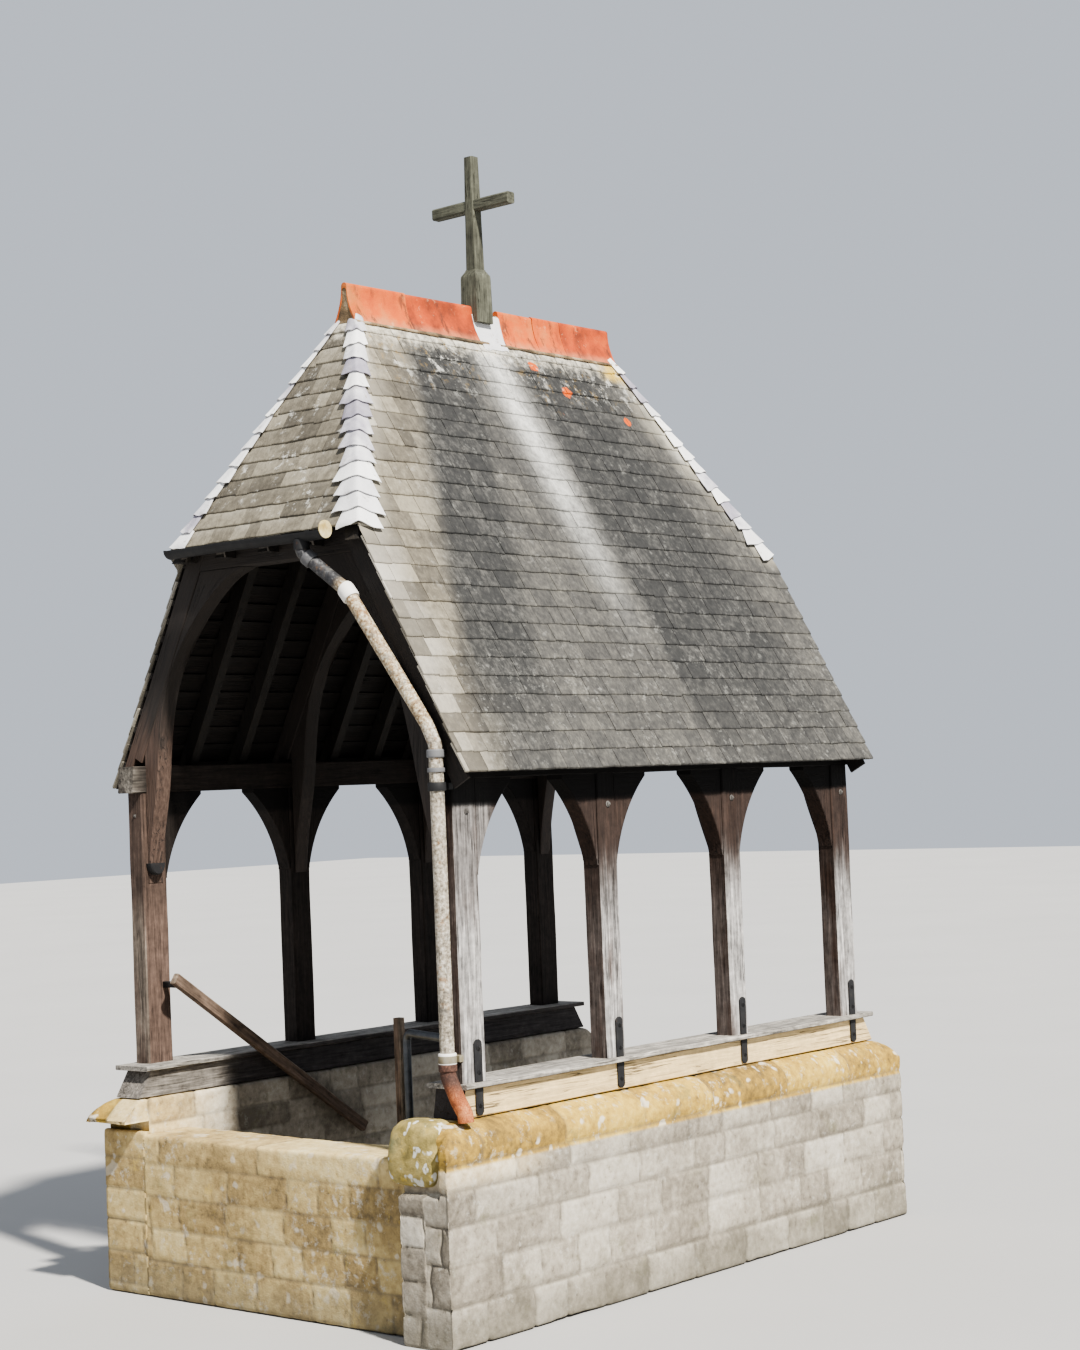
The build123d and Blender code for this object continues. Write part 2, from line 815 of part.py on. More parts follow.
def handrail():
    """Flat timber handrail on the left side, falling with the steps."""
    middle_y = (rail_top_y + rail_bottom_y) / 2
    middle_z = ground + (rail_top_height + rail_bottom_height) / 2
    length = math.hypot(rail_top_height - rail_bottom_height, rail_bottom_y - rail_top_y)
    bar = Box(rail_thickness, length, rail_depth)
    bar = chamfer(bar.edges().filter_by(Axis.Y), length=5.0)
    bar = Rot(-math.degrees(rail_angle()), 0, 0) * bar
    x = -wall_inner_face + rail_offset + rail_thickness / 2
    return Pos(x, middle_y, middle_z) * bar


def rail_height_at(y):
    """Middle of the handrail at a place along the passage."""
    share = (y - rail_top_y) / (rail_bottom_y - rail_top_y)
    return ground + rail_top_height + share * (rail_bottom_height - rail_top_height)


def handrail_brackets():
    """Iron brackets that hold the handrail to the post and to the wall."""
    inner_side = -wall_inner_face + rail_offset
    pieces = []
    y = post_places[0] + 40.0
    z = rail_height_at(y)
    pieces.append(block(-post_inner, inner_side, y - 16.0, y + 16.0, z - 22.0, z + 14.0))
    for y in rail_bracket_places:
        z = rail_height_at(y)
        pieces.append(block(-wall_inner_face, inner_side, y - 16.0, y + 16.0, z - 22.0, z + 14.0))
    return Compound(children=pieces)


def newel_post():
    """Slender timber newel on the first step below the kerb."""
    half = newel_side / 2
    y = -kerb_back + step_going / 2
    return block(newel_place - half, newel_place + half, y - half, y + half,
                 ground - riser, ground + newel_top)


def tube_rail():
    """Galvanised tube from a leg beside the newel to the right-hand corner post."""
    z = ground + tube_height
    y = -kerb_back + step_going / 2
    x = newel_place + newel_side / 2 + tube_radius + 6.0
    points = [
        (x, y, ground - riser),
        (x, y, z),
        (post_inner + 40.0, tube_end_y, z),
    ]
    route = round_route(points, 60.0)
    start = Plane(origin=route @ 0, z_dir=route % 0)
    tube = sweep(start * Circle(tube_radius), path=route)
    return tube - block(post_inner, 2000.0, -3000.0, 0.0, 0.0, 5000.0)


def export(name, shape):
    """Write one node."""
    export_step(shape, f"parts/{name}.step")


os.makedirs("parts", exist_ok=True)

stone = corner_stone()
right_wall = low_wall() - stone
left_wall = mirrored_x(low_wall()) - kerb_tail(kerb_tail_clear)
export("right_wall", right_wall)
export("left_wall", left_wall)
export("corner_stone", stone - kerb_stone() - sole_beam(short_beam_end, short_beam_slope_run))
export("kerb_stone", kerb_stone())
for number in range(1, riser_count):
    export(f"step_{number}", step(number))
right_beam = sole_beam(short_beam_end, short_beam_slope_run)
left_beam = mirrored_x(sole_beam(sole_beam_half_length, sole_beam_slope_run))
export("right_sole_beam", right_beam)
export("left_sole_beam", left_beam)
export("right_sill_board", notched_sill(sill_board(short_sill_end)))
export("left_sill_board", mirrored_x(notched_sill(sill_board(sill_half_length))))
for number in range(bay_count + 1):
    export(f"right_post_{number + 1}", post(number))
    export(f"left_post_{number + 1}", mirrored_x(post(number)))
    export(f"truss_{number + 1}", truss(number))
export("right_wall_plate", wall_plate(plate_short_end))
export("left_wall_plate", mirrored_x(wall_plate(plate_overhang)))
export("right_arch_braces", arch_braces(1))
export("left_arch_braces", arch_braces(-1))
export("right_rafters", common_rafters(1))
export("left_rafters", common_rafters(-1))
export("ridge_board", ridge_board())
export("near_hip_frame", hip_frame(-1))
export("far_hip_frame", hip_frame(1))
export("right_slope", slope_skin(1))
export("left_slope", slope_skin(-1))
export("near_hip", hip_skin(-1))
export("far_hip", hip_skin(1))
export("hip_leads", hip_leads())
export("bargeboards", bargeboards())
export("near_ridge_tiles", ridge_tiles(-1))
export("far_ridge_tiles", ridge_tiles(1))
export("lead_saddle", lead_saddle())
export("cross_pedestal", cross_pedestal())
export("cross", cross())
export("gutter", gutter())
export("downpipe", downpipe())
export("pipe_clips", pipe_clips())
export("pipe_shoe", pipe_shoe())
export("right_straps", straps(1))
export("left_straps", straps(-1))
export("handrail", handrail())
export("handrail_brackets", handrail_brackets())
export("newel_post", newel_post())
export("tube_rail", tube_rail())
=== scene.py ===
# %% [markdown]
# # A lychgate, dressed
# A lychgate is the roofed gateway of a churchyard. This one is a heavy oak frame on two low
# stone walls, under a steep roof of small stone slates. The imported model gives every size, so
# this script only adds what a solid model leaves out: single slates, worn edges, joints in the
# masonry, grain, lichen and rust.

# %% Load the frame
import math

import bpy
import numpy as np
from mathutils import Matrix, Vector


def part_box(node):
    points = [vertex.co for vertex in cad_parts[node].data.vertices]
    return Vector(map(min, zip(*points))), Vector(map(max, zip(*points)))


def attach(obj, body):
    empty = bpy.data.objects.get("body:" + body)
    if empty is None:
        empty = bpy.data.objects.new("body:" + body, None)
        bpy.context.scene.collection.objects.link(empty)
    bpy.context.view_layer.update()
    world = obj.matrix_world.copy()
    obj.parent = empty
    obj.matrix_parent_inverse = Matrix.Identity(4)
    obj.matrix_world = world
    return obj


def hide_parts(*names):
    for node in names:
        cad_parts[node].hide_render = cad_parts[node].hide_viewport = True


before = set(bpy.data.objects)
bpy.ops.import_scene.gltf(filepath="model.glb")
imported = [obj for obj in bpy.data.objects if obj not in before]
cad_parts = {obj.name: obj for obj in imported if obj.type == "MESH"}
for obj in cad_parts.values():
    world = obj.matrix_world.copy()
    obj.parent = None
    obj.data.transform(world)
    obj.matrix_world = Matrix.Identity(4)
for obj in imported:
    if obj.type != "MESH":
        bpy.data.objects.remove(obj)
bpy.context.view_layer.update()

# %% [markdown]
# ## Levels and main sizes
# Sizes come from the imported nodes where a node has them. The churchyard is the height of the
# kerb's top, five risers up, and everything above is measured from there. A rise is the climb of
# a roof face for one metre across.

# %% Read the driving sizes
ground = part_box("step_1")[1].z * 5.0
post_low, post_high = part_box("right_post_1")
half_width, post_inner, post_foot = post_high.x, post_low.x, post_low.z
plate_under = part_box("left_wall_plate")[0].z
slope_low, slope_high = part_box("right_slope")
eave_x, eave_z, verge_y = slope_high.x, slope_low.z, slope_high.y
slope_rise, hip_rise = 1.9167, 1.775
hip_eave_z = ground + 3.12
apex_z = eave_z + eave_x * slope_rise
slope_angle, hip_angle = math.atan(slope_rise), math.atan(hip_rise)
cos_s, sin_s = math.cos(slope_angle), math.sin(slope_angle)
cos_h, sin_h = math.cos(hip_angle), math.sin(hip_angle)
post_y = [-1.65, -0.55, 0.55, 1.65]
X, Y, Z = np.eye(3)
print(f"ground {ground:.3f}, eave ({eave_x:.3f}, {eave_z:.3f}), apex {apex_z:.3f}")

# %% [markdown]
# ## Meshes from grids
# Nearly every piece here is a surface worked out as arrays. Primitives moved into place would
# be quicker to type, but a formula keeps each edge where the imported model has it, and it can
# bend, taper or wear the surface on the way. A part is a set of points, blocks of faces, and the
# values that each point carries for its material; a piece is one or more parts.

# %% Helpers for faces
def grid_faces(rows, cols, close_cols=False, close_rows=False):
    """Quads of a grid of rows by cols points; a closed direction joins its end to its start."""
    r = np.arange(rows if close_rows else rows - 1)
    c = np.arange(cols if close_cols else cols - 1)
    r, c = np.meshgrid(r, c, indexing="ij")
    r2, c2 = (r + 1) % rows, (c + 1) % cols
    quads = np.stack([r * cols + c, r * cols + c2, r2 * cols + c2, r2 * cols + c], -1)
    return quads.reshape(-1, 4)


def closed_tube(rows, cols):
    """Faces of rings of cols points, row after row, with a flat cap on the first and last."""
    ring = np.arange(cols)
    return [grid_faces(rows, cols, close_cols=True), ring[::-1][None],
            (ring + (rows - 1) * cols)[None]]


def hollow_tube(rows, cols):
    """Like a closed tube, for rings that run out and come back: strips of quads close its ends."""
    out, back = np.arange(cols // 2), cols - 1 - np.arange(cols // 2)
    cap = np.stack([out[:-1], out[1:], back[1:], back[:-1]], 1)
    return [grid_faces(rows, cols, close_cols=True), cap[:, ::-1], cap + (rows - 1) * cols]


def turned_over(faces):
    """The same faces read backwards, so that they look the other way."""
    return [np.asarray(block)[:, ::-1] for block in faces]


def flipped(part, flip_x, flip_y=False):
    """The part mirrored in x, y or both; an odd number of mirrors turns its faces over."""
    points, faces, values = part
    points = points * np.array([-1.0 if flip_x else 1.0, -1.0 if flip_y else 1.0, 1.0])
    return points, turned_over(faces) if flip_x != flip_y else faces, values


print("a closed tube of 3 rings of 4 has", sum(map(len, closed_tube(3, 4))), "faces")

# %% [markdown]
# ## From parts to a piece
# Joining parts as arrays and writing one mesh is far quicker than joining objects. Each piece
# then rides on the root body and names the imported nodes it replaces, which it hides.

# %% Helpers for pieces
def toned(points, faces, tone=0.5):
    """Part whose points all carry one tone, which its material reads."""
    return np.asarray(points, float).reshape(-1, 3), faces, {"piece_tone": tone}


def join_parts(parts):
    """One part from several: points stacked, face numbers shifted, values spread over points."""
    points, faces, values, start = [], [], {}, 0
    for part_points, part_faces, part_values in parts:
        points.append(part_points)
        faces.extend(np.asarray(block) + start for block in part_faces)
        for key, value in part_values.items():
            value = np.asarray(value, float)
            value = value if value.ndim else np.full(len(part_points), value)
            values.setdefault(key, []).append(value)
        start += len(part_points)
    return np.concatenate(points), faces, {key: np.concatenate(v) for key, v in values.items()}


def make_piece(name, parts, node_names=(), smooth=True, sharp=None):
    """Mesh object from parts, riding on the root body.

    A value of one number a point becomes a float attribute, one of three a vector attribute.
    Edges sharper than sharp degrees stay hard, so that smooth shading stops at real corners.
    """
    points, faces, values = join_parts(parts)
    mesh = bpy.data.meshes.new(name)
    mesh.from_pydata(points.tolist(), [], [face for block in faces for face in block.tolist()])
    mesh.update()
    mesh.polygons.foreach_set("use_smooth", [smooth] * len(mesh.polygons))
    for key, value in values.items():
        kind, field = ("FLOAT", "value") if value.ndim == 1 else ("FLOAT_VECTOR", "vector")
        attribute = mesh.attributes.new(key, kind, "POINT")
        attribute.data.foreach_set(field, value.astype(np.float32).ravel())
    piece = bpy.data.objects.new(name, mesh)
    bpy.context.scene.collection.objects.link(piece)
    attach(piece, "root")
    if node_names:
        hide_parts(*node_names)
    if sharp is not None:
        mesh.set_sharp_from_angle(angle=math.radians(sharp))
    return piece


print("a piece is made of parts: points, faces and values")

# %% [markdown]
# ## Curves and wear
# Wear is a smooth noise made of a few sines: it needs no texture, it is the same on every
# machine, and its size in metres is known.

# %% Helpers for curves and wear
def run_length(line):
    """Distance along a line of points, from 0 at its start."""
    steps = np.linalg.norm(np.diff(line, axis=0), axis=1)
    return np.concatenate([[0.0], np.cumsum(steps)])


def unit(vectors):
    """Vectors divided by their length."""
    return vectors / np.maximum(np.linalg.norm(vectors, axis=-1, keepdims=True), 1e-9)


def spread(*values):
    """Arrays of different shapes stretched over one grid, as its x, y and z."""
    return np.stack(np.broadcast_arrays(*[np.asarray(v, float) for v in values]), -1)


def wave_noise(p, scale, seed=0.0):
    """Smooth noise from -1 to 1: sines along five slanted directions, summed and divided."""
    p = np.asarray(p, float) * scale
    total = np.zeros(p.shape[:-1])
    directions = [(1.0, 0.37, 0.21), (-0.53, 1.13, 0.71), (0.29, -0.83, 1.31),
                  (1.71, 0.91, -1.17), (-1.37, 0.63, 2.03)]
    for i, d in enumerate(directions):
        total = total + np.sin(p @ np.array(d) * 2.0 + seed * 1.7 + i * 2.1)
    return total / 5.0


print("noise at the origin:", round(float(wave_noise((0, 0, 0), 1.0)), 3))

# %% [markdown]
# ## The camera first
# The camera was solved from the picture's straight edges. Its turn is written as three angles,
# and the lens as the focal length that a 36 mm tall sensor needs.

# %% Place the camera
camera_place = np.array([9.0262, -10.2738, 1.7689 + ground])
yaw, pitch, roll = map(math.radians, (40.2627, 2.6734, -2.3481))
focal_px, frame_px = 2390.45, 1350.0


def camera_axes():
    """Right, up and forward of the camera: a level view turned by yaw, raised by pitch, rolled."""
    forward = np.array([-math.sin(yaw) * math.cos(pitch), math.cos(yaw) * math.cos(pitch),
                        math.sin(pitch)])
    right = np.array([math.cos(yaw), math.sin(yaw), 0.0])
    up = np.cross(right, forward)
    turned_right = right * math.cos(roll) + up * math.sin(roll)
    turned_up = -right * math.sin(roll) + up * math.cos(roll)
    return turned_right, turned_up, forward


camera_data = bpy.data.cameras.new("photo_camera")
camera_data.sensor_width = 36.0
camera_data.lens = focal_px / frame_px * 36.0
camera_data.clip_end = 200.0
camera = bpy.data.objects.new("photo_camera", camera_data)
bpy.context.scene.collection.objects.link(camera)
cam_right, cam_up, cam_forward = camera_axes()
camera_matrix = np.eye(4)
camera_matrix[:3] = np.stack([cam_right, cam_up, -cam_forward, camera_place], 1)
camera.matrix_world = Matrix(camera_matrix.tolist())
bpy.context.scene.camera = camera
print("lens", round(camera_data.lens, 2), "mm")

# %% [markdown]
# ## Sawn and worn timber
# Every timber is one section carried along two edges. The section is a rectangle with cut
# corners, because old oak never keeps a sharp arris, and a slow wave pushes its faces in and
# out by a millimetre or two. A Bevel modifier would round the corners too, but it can't let
# the faces wander. Each point also keeps its place along and across the grain.

# %% The timber section
def beam_part(edge_a, edge_b, side, thickness, chamfer=0.006, wobble=0.0012, seed=0.0,
              per_face=4):
    """Section between two edges: point = a + (b - a) * s + side * t, with the corners cut off.

    s runs from 0 to 1 from edge a to edge b, and t from minus to plus half the thickness. The
    wobble moves each point towards the section's middle by a smooth noise.
    """
    edge_a, edge_b = np.asarray(edge_a, float), np.asarray(edge_b, float)
    stations = len(edge_a)
    thickness = np.broadcast_to(np.asarray(thickness, float), (stations,))
    depth = np.linalg.norm(edge_b - edge_a, axis=1)
    run, ones = np.linspace(0.0, 1.0, per_face), np.ones(per_face)
    cut_s = (chamfer / depth)[:, None]
    cut_t = (chamfer / (thickness / 2.0))[:, None]
    s = np.concatenate([cut_s + (1 - 2 * cut_s) * run, ones + 0 * cut_s,
                        1 - cut_s - (1 - 2 * cut_s) * run, 0 * ones + 0 * cut_s], 1)
    t = np.concatenate([-ones + 0 * cut_t, (-1 + cut_t) + (2 - 2 * cut_t) * run,
                        ones + 0 * cut_t, (1 - cut_t) - (2 - 2 * cut_t) * run], 1)
    offset = t * thickness[:, None] / 2.0
    points = edge_a[:, None] + (edge_b - edge_a)[:, None] * s[..., None] \
        + np.asarray(side, float) * offset[..., None]
    centre_line = (edge_a + edge_b) / 2.0
    outward = points - centre_line[:, None]
    outward /= np.maximum(np.linalg.norm(outward, axis=-1, keepdims=True), 1e-6)
    points = points + outward * (wobble * wave_noise(points, 4.0, seed) - wobble)[..., None]
    grain = spread(s * depth[:, None], offset, run_length(centre_line)[:, None])
    grain = grain + np.array([seed * 0.731 % 5.0, seed * 0.417 % 5.0, seed * 1.13 % 5.0])
    faces = closed_tube(stations, points.shape[1])
    along = centre_line[-1] - centre_line[0]
    if np.dot(np.cross(edge_b[0] - edge_a[0], side), along) < 0:
        faces = turned_over(faces)
    return points.reshape(-1, 3), faces, {"grain": grain.reshape(-1, 3)}


def straight_beam(start, end, across, depth, side, thickness, **finish):
    """Beam from start to end whose middle line joins them; across is its depth direction."""
    start, end, across = (np.asarray(v, float) for v in (start, end, across))
    count = max(3, int(np.linalg.norm(end - start) / 0.09) + 1)
    line = start + (end - start) * np.linspace(0, 1, count)[:, None]
    half = across * depth / 2
    return beam_part(line - half, line + half, side, thickness, **finish)


def make_timber(name, parts, node_name):
    """One piece from several timbers, with its real corners kept sharp."""
    return make_piece(name, parts, [node_name], sharp=30.0)


print("timber section ready")

# %% [markdown]
# ## Posts
# Eight oak posts stand on the sill boards. The corner ones are heavier. They stay exactly
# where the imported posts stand, a little slimmer than them only where the arris has worn. Each
# runs a few millimetres into the plate and the board, so no light shows at its ends.

# %% Posts
seed_count = 1.0
for side_name in ("left", "right"):
    for number in range(1, 5):
        node = f"{side_name}_post_{number}"
        low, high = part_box(node)
        x, y = (low.x + high.x) / 2, (low.y + high.y) / 2
        part = straight_beam((x, y, low.z - 0.004), (x, y, high.z + 0.006), Y, high.y - low.y, X,
                             high.x - low.x, chamfer=0.007, wobble=0.0022, seed=seed_count,
                             per_face=5)
        make_timber(f"{side_name}_oak_post_{number}", [part], node)
        seed_count += 1.0
print("posts:", int(seed_count) - 1)

# %% [markdown]
# ## Wall plates, sole beams and sill boards
# The plate lies on the posts, the sole beam on the wall, and a thin sill board between beam
# and posts throws the rain clear. The sole beam's ends are sawn to a slope, so its two edges
# have different lengths. The board has cupped a little along its outer edge.

# %% Plates, sole beams and sills
def shaped_beam(node, near_cut, far_cut, seed):
    """Beam along Y in a node's box, whose top edge is shorter by a cut at each end."""
    low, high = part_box(node)
    share = np.linspace(0, 1, 48)[:, None]
    x, length = (low.x + high.x) / 2, high.y - low.y
    bottom = np.array([x, low.y, low.z]) + share * Y * length
    top = np.array([x, low.y + near_cut, high.z]) + share * Y * (length - near_cut - far_cut)
    return beam_part(bottom, top, X, high.x - low.x, 0.006, 0.0028, seed, per_face=6)


def sill_part(node, seed):
    """Thin board along Y: its outer edge rises and falls by a slow wave of a few millimetres."""
    low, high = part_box(node)
    inner, outer = (low.x, high.x) if high.x > 0 else (high.x, low.x)
    y = np.linspace(low.y, high.y, 90)
    wave = 0.0022 * np.sin(y * 3.1 + seed) + 0.0012 * np.sin(y * 9.3 + seed * 2)
    z = (low.z + high.z) / 2
    edge_in = spread(inner, y, z)
    edge_out = spread(outer - np.sign(outer) * (0.004 + np.abs(wave)), y, z + wave * 0.5)
    return beam_part(edge_in, edge_out, Z, (high.z - low.z) * 0.98, 0.004, 0.0008, seed,
                     per_face=6)


end_cut = 0.012
for side_name, near_cut in (("left", 0.09), ("right", 0.026)):
    nodes = [f"{side_name}_{node}" for node in ("wall_plate", "sole_beam", "sill_board")]
    parts = [shaped_beam(nodes[0], end_cut, end_cut, seed_count),
             shaped_beam(nodes[1], near_cut, 0.09, seed_count + 1),
             sill_part(nodes[2], seed_count + 2)]
    for short, node, part in zip(("plate", "sole", "sill"), nodes, parts):
        make_timber(f"{side_name}_oak_{short}", [part], node)
    seed_count += 3
print("timbers so far:", int(seed_count) - 1)

# %% [markdown]
# ## Curved braces
# Each brace is a plank sawn from a bent branch: its outer edge follows the post and the plate,
# its inner edge is a shallow arc. Two curves and a thickness give the whole plank.

# %% Braces under the plates
brace_drop, brace_reach, brace_toe, brace_lap = 0.47, 0.27, 0.025, 0.006


def arc_through(a, middle, b, count):
    """Smooth curve from a to b through middle: a quadratic curve whose control point is
    2 * middle - (a + b) / 2, read at even steps."""
    control = 2 * middle - (a + b) / 2
    t = np.linspace(0, 1, count)[:, None]
    return (1 - t) ** 2 * a + 2 * t * (1 - t) * control + t ** 2 * b


def wall_brace(face_y, toward, x, seed):
    """Brace from a post's face to the plate: back edge up the post and along the plate."""
    count, knee = 26, 0.64
    foot = np.array([x, face_y, plate_under - brace_drop])
    corner = np.array([x, face_y, plate_under + brace_lap])
    tip = corner + Y * toward * brace_reach
    toe = tip - Z * brace_toe
    middle = np.array([x, face_y + toward * brace_reach * 0.36, plate_under - brace_drop * 0.48])
    inner = arc_through(foot + Y * toward * 0.004, middle, toe, count)
    share = np.linspace(0, 1, count)[:, None]
    back = np.where(share < knee, foot + (corner - foot) * share / knee,
                    corner + (tip - corner) * (share - knee) / (1 - knee))
    return beam_part(back, inner, X, 0.1, 0.004, 0.0008, seed, per_face=4)


for side_name, sign in (("left", -1), ("right", 1)):
    x = sign * (half_width + post_inner) / 2
    parts = []
    for i, y in enumerate(post_y):
        half = (0.172 if i in (0, 3) else 0.15) / 2
        for toward in (-1, 1):
            if 0 <= i + toward <= 3:
                parts.append(wall_brace(y + toward * half, toward, x, seed_count))
                seed_count += 1
    make_timber(f"{side_name}_oak_braces", parts, f"{side_name}_arch_braces")
    print(side_name, "brace planks:", len(parts))

# %% [markdown]
# ## Trusses
# A truss is two principal rafters under the slates, curved braces that spring from the posts,
# and a collar. From below it reads as one pointed arch. The inner edge is one smooth curve
# through a few places on the real arch, and the outer edge is the rafter's back. The two sides
# were sawn from different branches, so their curves differ.

# %% Trusses
def smooth_curve(knots, count):
    """Curve through knots: Catmull-Rom pieces read at even steps of the knot number."""
    knots = np.asarray(knots, float)
    padded = np.concatenate([[2 * knots[0] - knots[1]], knots, [2 * knots[-1] - knots[-2]]])
    t = np.linspace(0, len(knots) - 1, count)
    i = np.minimum(t.astype(int), len(knots) - 2)
    f = (t - i)[:, None]
    p0, p1, p2, p3 = padded[i], padded[i + 1], padded[i + 2], padded[i + 3]
    return 0.5 * (2 * p1 + (p2 - p0) * f + (2 * p0 - 5 * p1 + 4 * p2 - p3) * f ** 2
                  + (3 * p1 - p0 - 3 * p2 + p3) * f ** 3)


skin = 0.04
principal_depth, truss_wide, collar_depth = 0.12, 0.108, 0.14
collar_low, collar_middle, collar_high = 2.99, 3.06, 3.13
right_arch = [(post_inner, 1.33), (0.99, 1.625), (0.942, 1.822), (0.856, 2.206), (0.765, 2.49),
              (0.612, 2.705), (0.46, 2.84), (0.25, 2.99)]
left_arch = [(post_inner, 1.33), (1.06, 1.56), (1.0, 1.85), (0.965, 2.12), (0.93, 2.29),
             (0.875, 2.44), (0.8, 2.575), (0.69, 2.7), (0.55, 2.83), (0.39, 2.94),
             (0.25, 2.99)]
slope_out = np.array([sin_s, 0.0, cos_s])


def slope_z(x, depth):
    """Height of the slates' face at x, less a depth measured square to the slope."""
    return apex_z - np.abs(x) * slope_rise - depth / cos_s


def slope_x(z, depth):
    """The x where that face, so deep, has the height z: slope_z solved for x."""
    return (apex_z - depth / cos_s - z) / slope_rise


def slope_beam(x_low, x_high, deep, y, depth, thickness, **finish):
    """Straight timber along the right slope between two values of x, its middle line so deep."""
    x = np.array([x_low, x_high])
    ends = spread(x, y, slope_z(x, deep))
    return straight_beam(ends[0], ends[1], slope_out, depth, Y, thickness, **finish)


def principal(y, x_low, x_high, depth, seed):
    """Straight rafter under the slope between two values of x."""
    return slope_beam(x_low, x_high, skin + depth / 2, y, depth, truss_wide, chamfer=0.005,
                      wobble=0.002, seed=seed)


def arch_brace_part(y, knots, seed):
    """Curved brace: inner edge on the arch; outer edge up the post, then along the principal."""
    count, knee = 44, 0.4
    arch = smooth_curve(knots, count)
    inner = spread(arch[:, 0], y, arch[:, 1] + ground)
    share = np.linspace(0, 1, count)
    depth = skin + principal_depth
    foot_z, knee_z = ground + knots[0][1], slope_z(post_inner, depth)
    end_x = (apex_z - depth / cos_s - ground - collar_low) / slope_rise
    x = np.where(share < knee, post_inner,
                 post_inner + (end_x - post_inner) * (share - knee) / (1 - knee))
    z = np.where(share < knee, foot_z + (knee_z - foot_z) * share / knee, slope_z(x, depth))
    outer = spread(x + 0.001, y, z)
    return beam_part(outer, inner, Y, truss_wide * 0.92, 0.006, 0.0015, seed, per_face=5)


for number, y in enumerate(post_y, 1):
    top_x = slope_x(ground + collar_high, skin + 0.06) if number in (1, 4) else 0.035
    rafters = [principal(y, 1.17, top_x, principal_depth, seed_count),
               principal(y, 1.252, 1.165, 0.06, seed_count + 1)]
    right = rafters + [arch_brace_part(y, right_arch, seed_count + 2)]
    left = rafters + [arch_brace_part(y, left_arch, seed_count + 2.5)]
    reach, collar_z = slope_x(ground + collar_middle, skin + 0.06), ground + collar_middle
    collar = straight_beam((-reach, y, collar_z), (reach, y, collar_z), Z, collar_depth, Y,
                           truss_wide * 0.98, chamfer=0.006, wobble=0.002, seed=seed_count + 3,
                           per_face=5)
    parts = right + [flipped(part, True) for part in left] + [collar]
    make_timber(f"oak_truss_{number}", parts, f"truss_{number}")
    seed_count += 4
print("trusses:", len(post_y), "of", len(parts), "timbers each")

# %% [markdown]
# ## Bargeboards
# A thin board under each verge hides the ends of the battens. It is a straight timber in the
# plane of the gable. The near left verge is set back and has none.

# %% Bargeboards
board_y = abs(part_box("bargeboards")[0].y + 0.009)
board_deep = skin + 0.056
board_top_z = hip_eave_z + (verge_y - board_y) * hip_rise - skin / cos_h
board_top_x = (apex_z - board_deep / cos_s - board_top_z) / slope_rise
parts = []
for flip_y in (-1, 1):
    board = slope_beam(1.285, board_top_x - 0.012, board_deep, board_y * flip_y, 0.11, 0.017,
                       chamfer=0.002, wobble=0.0008, seed=seed_count)
    parts += [board] if flip_y < 0 else [board, flipped(board, True)]
    seed_count += 1
make_timber("oak_bargeboards", parts, "bargeboards")
print("bargeboards:", len(parts))

# %% [markdown]
# ## Stone slates
# The roof is the largest surface in view, and what makes it is its courses: small stone
# slates, each lying on the two below, with uneven tails. A bump map of bricks would look flat
# along the edges, so every slate is a real thin block. One small template is repeated for all
# slates at once as arrays, and slates at a hip or verge are cut by clipping their width.

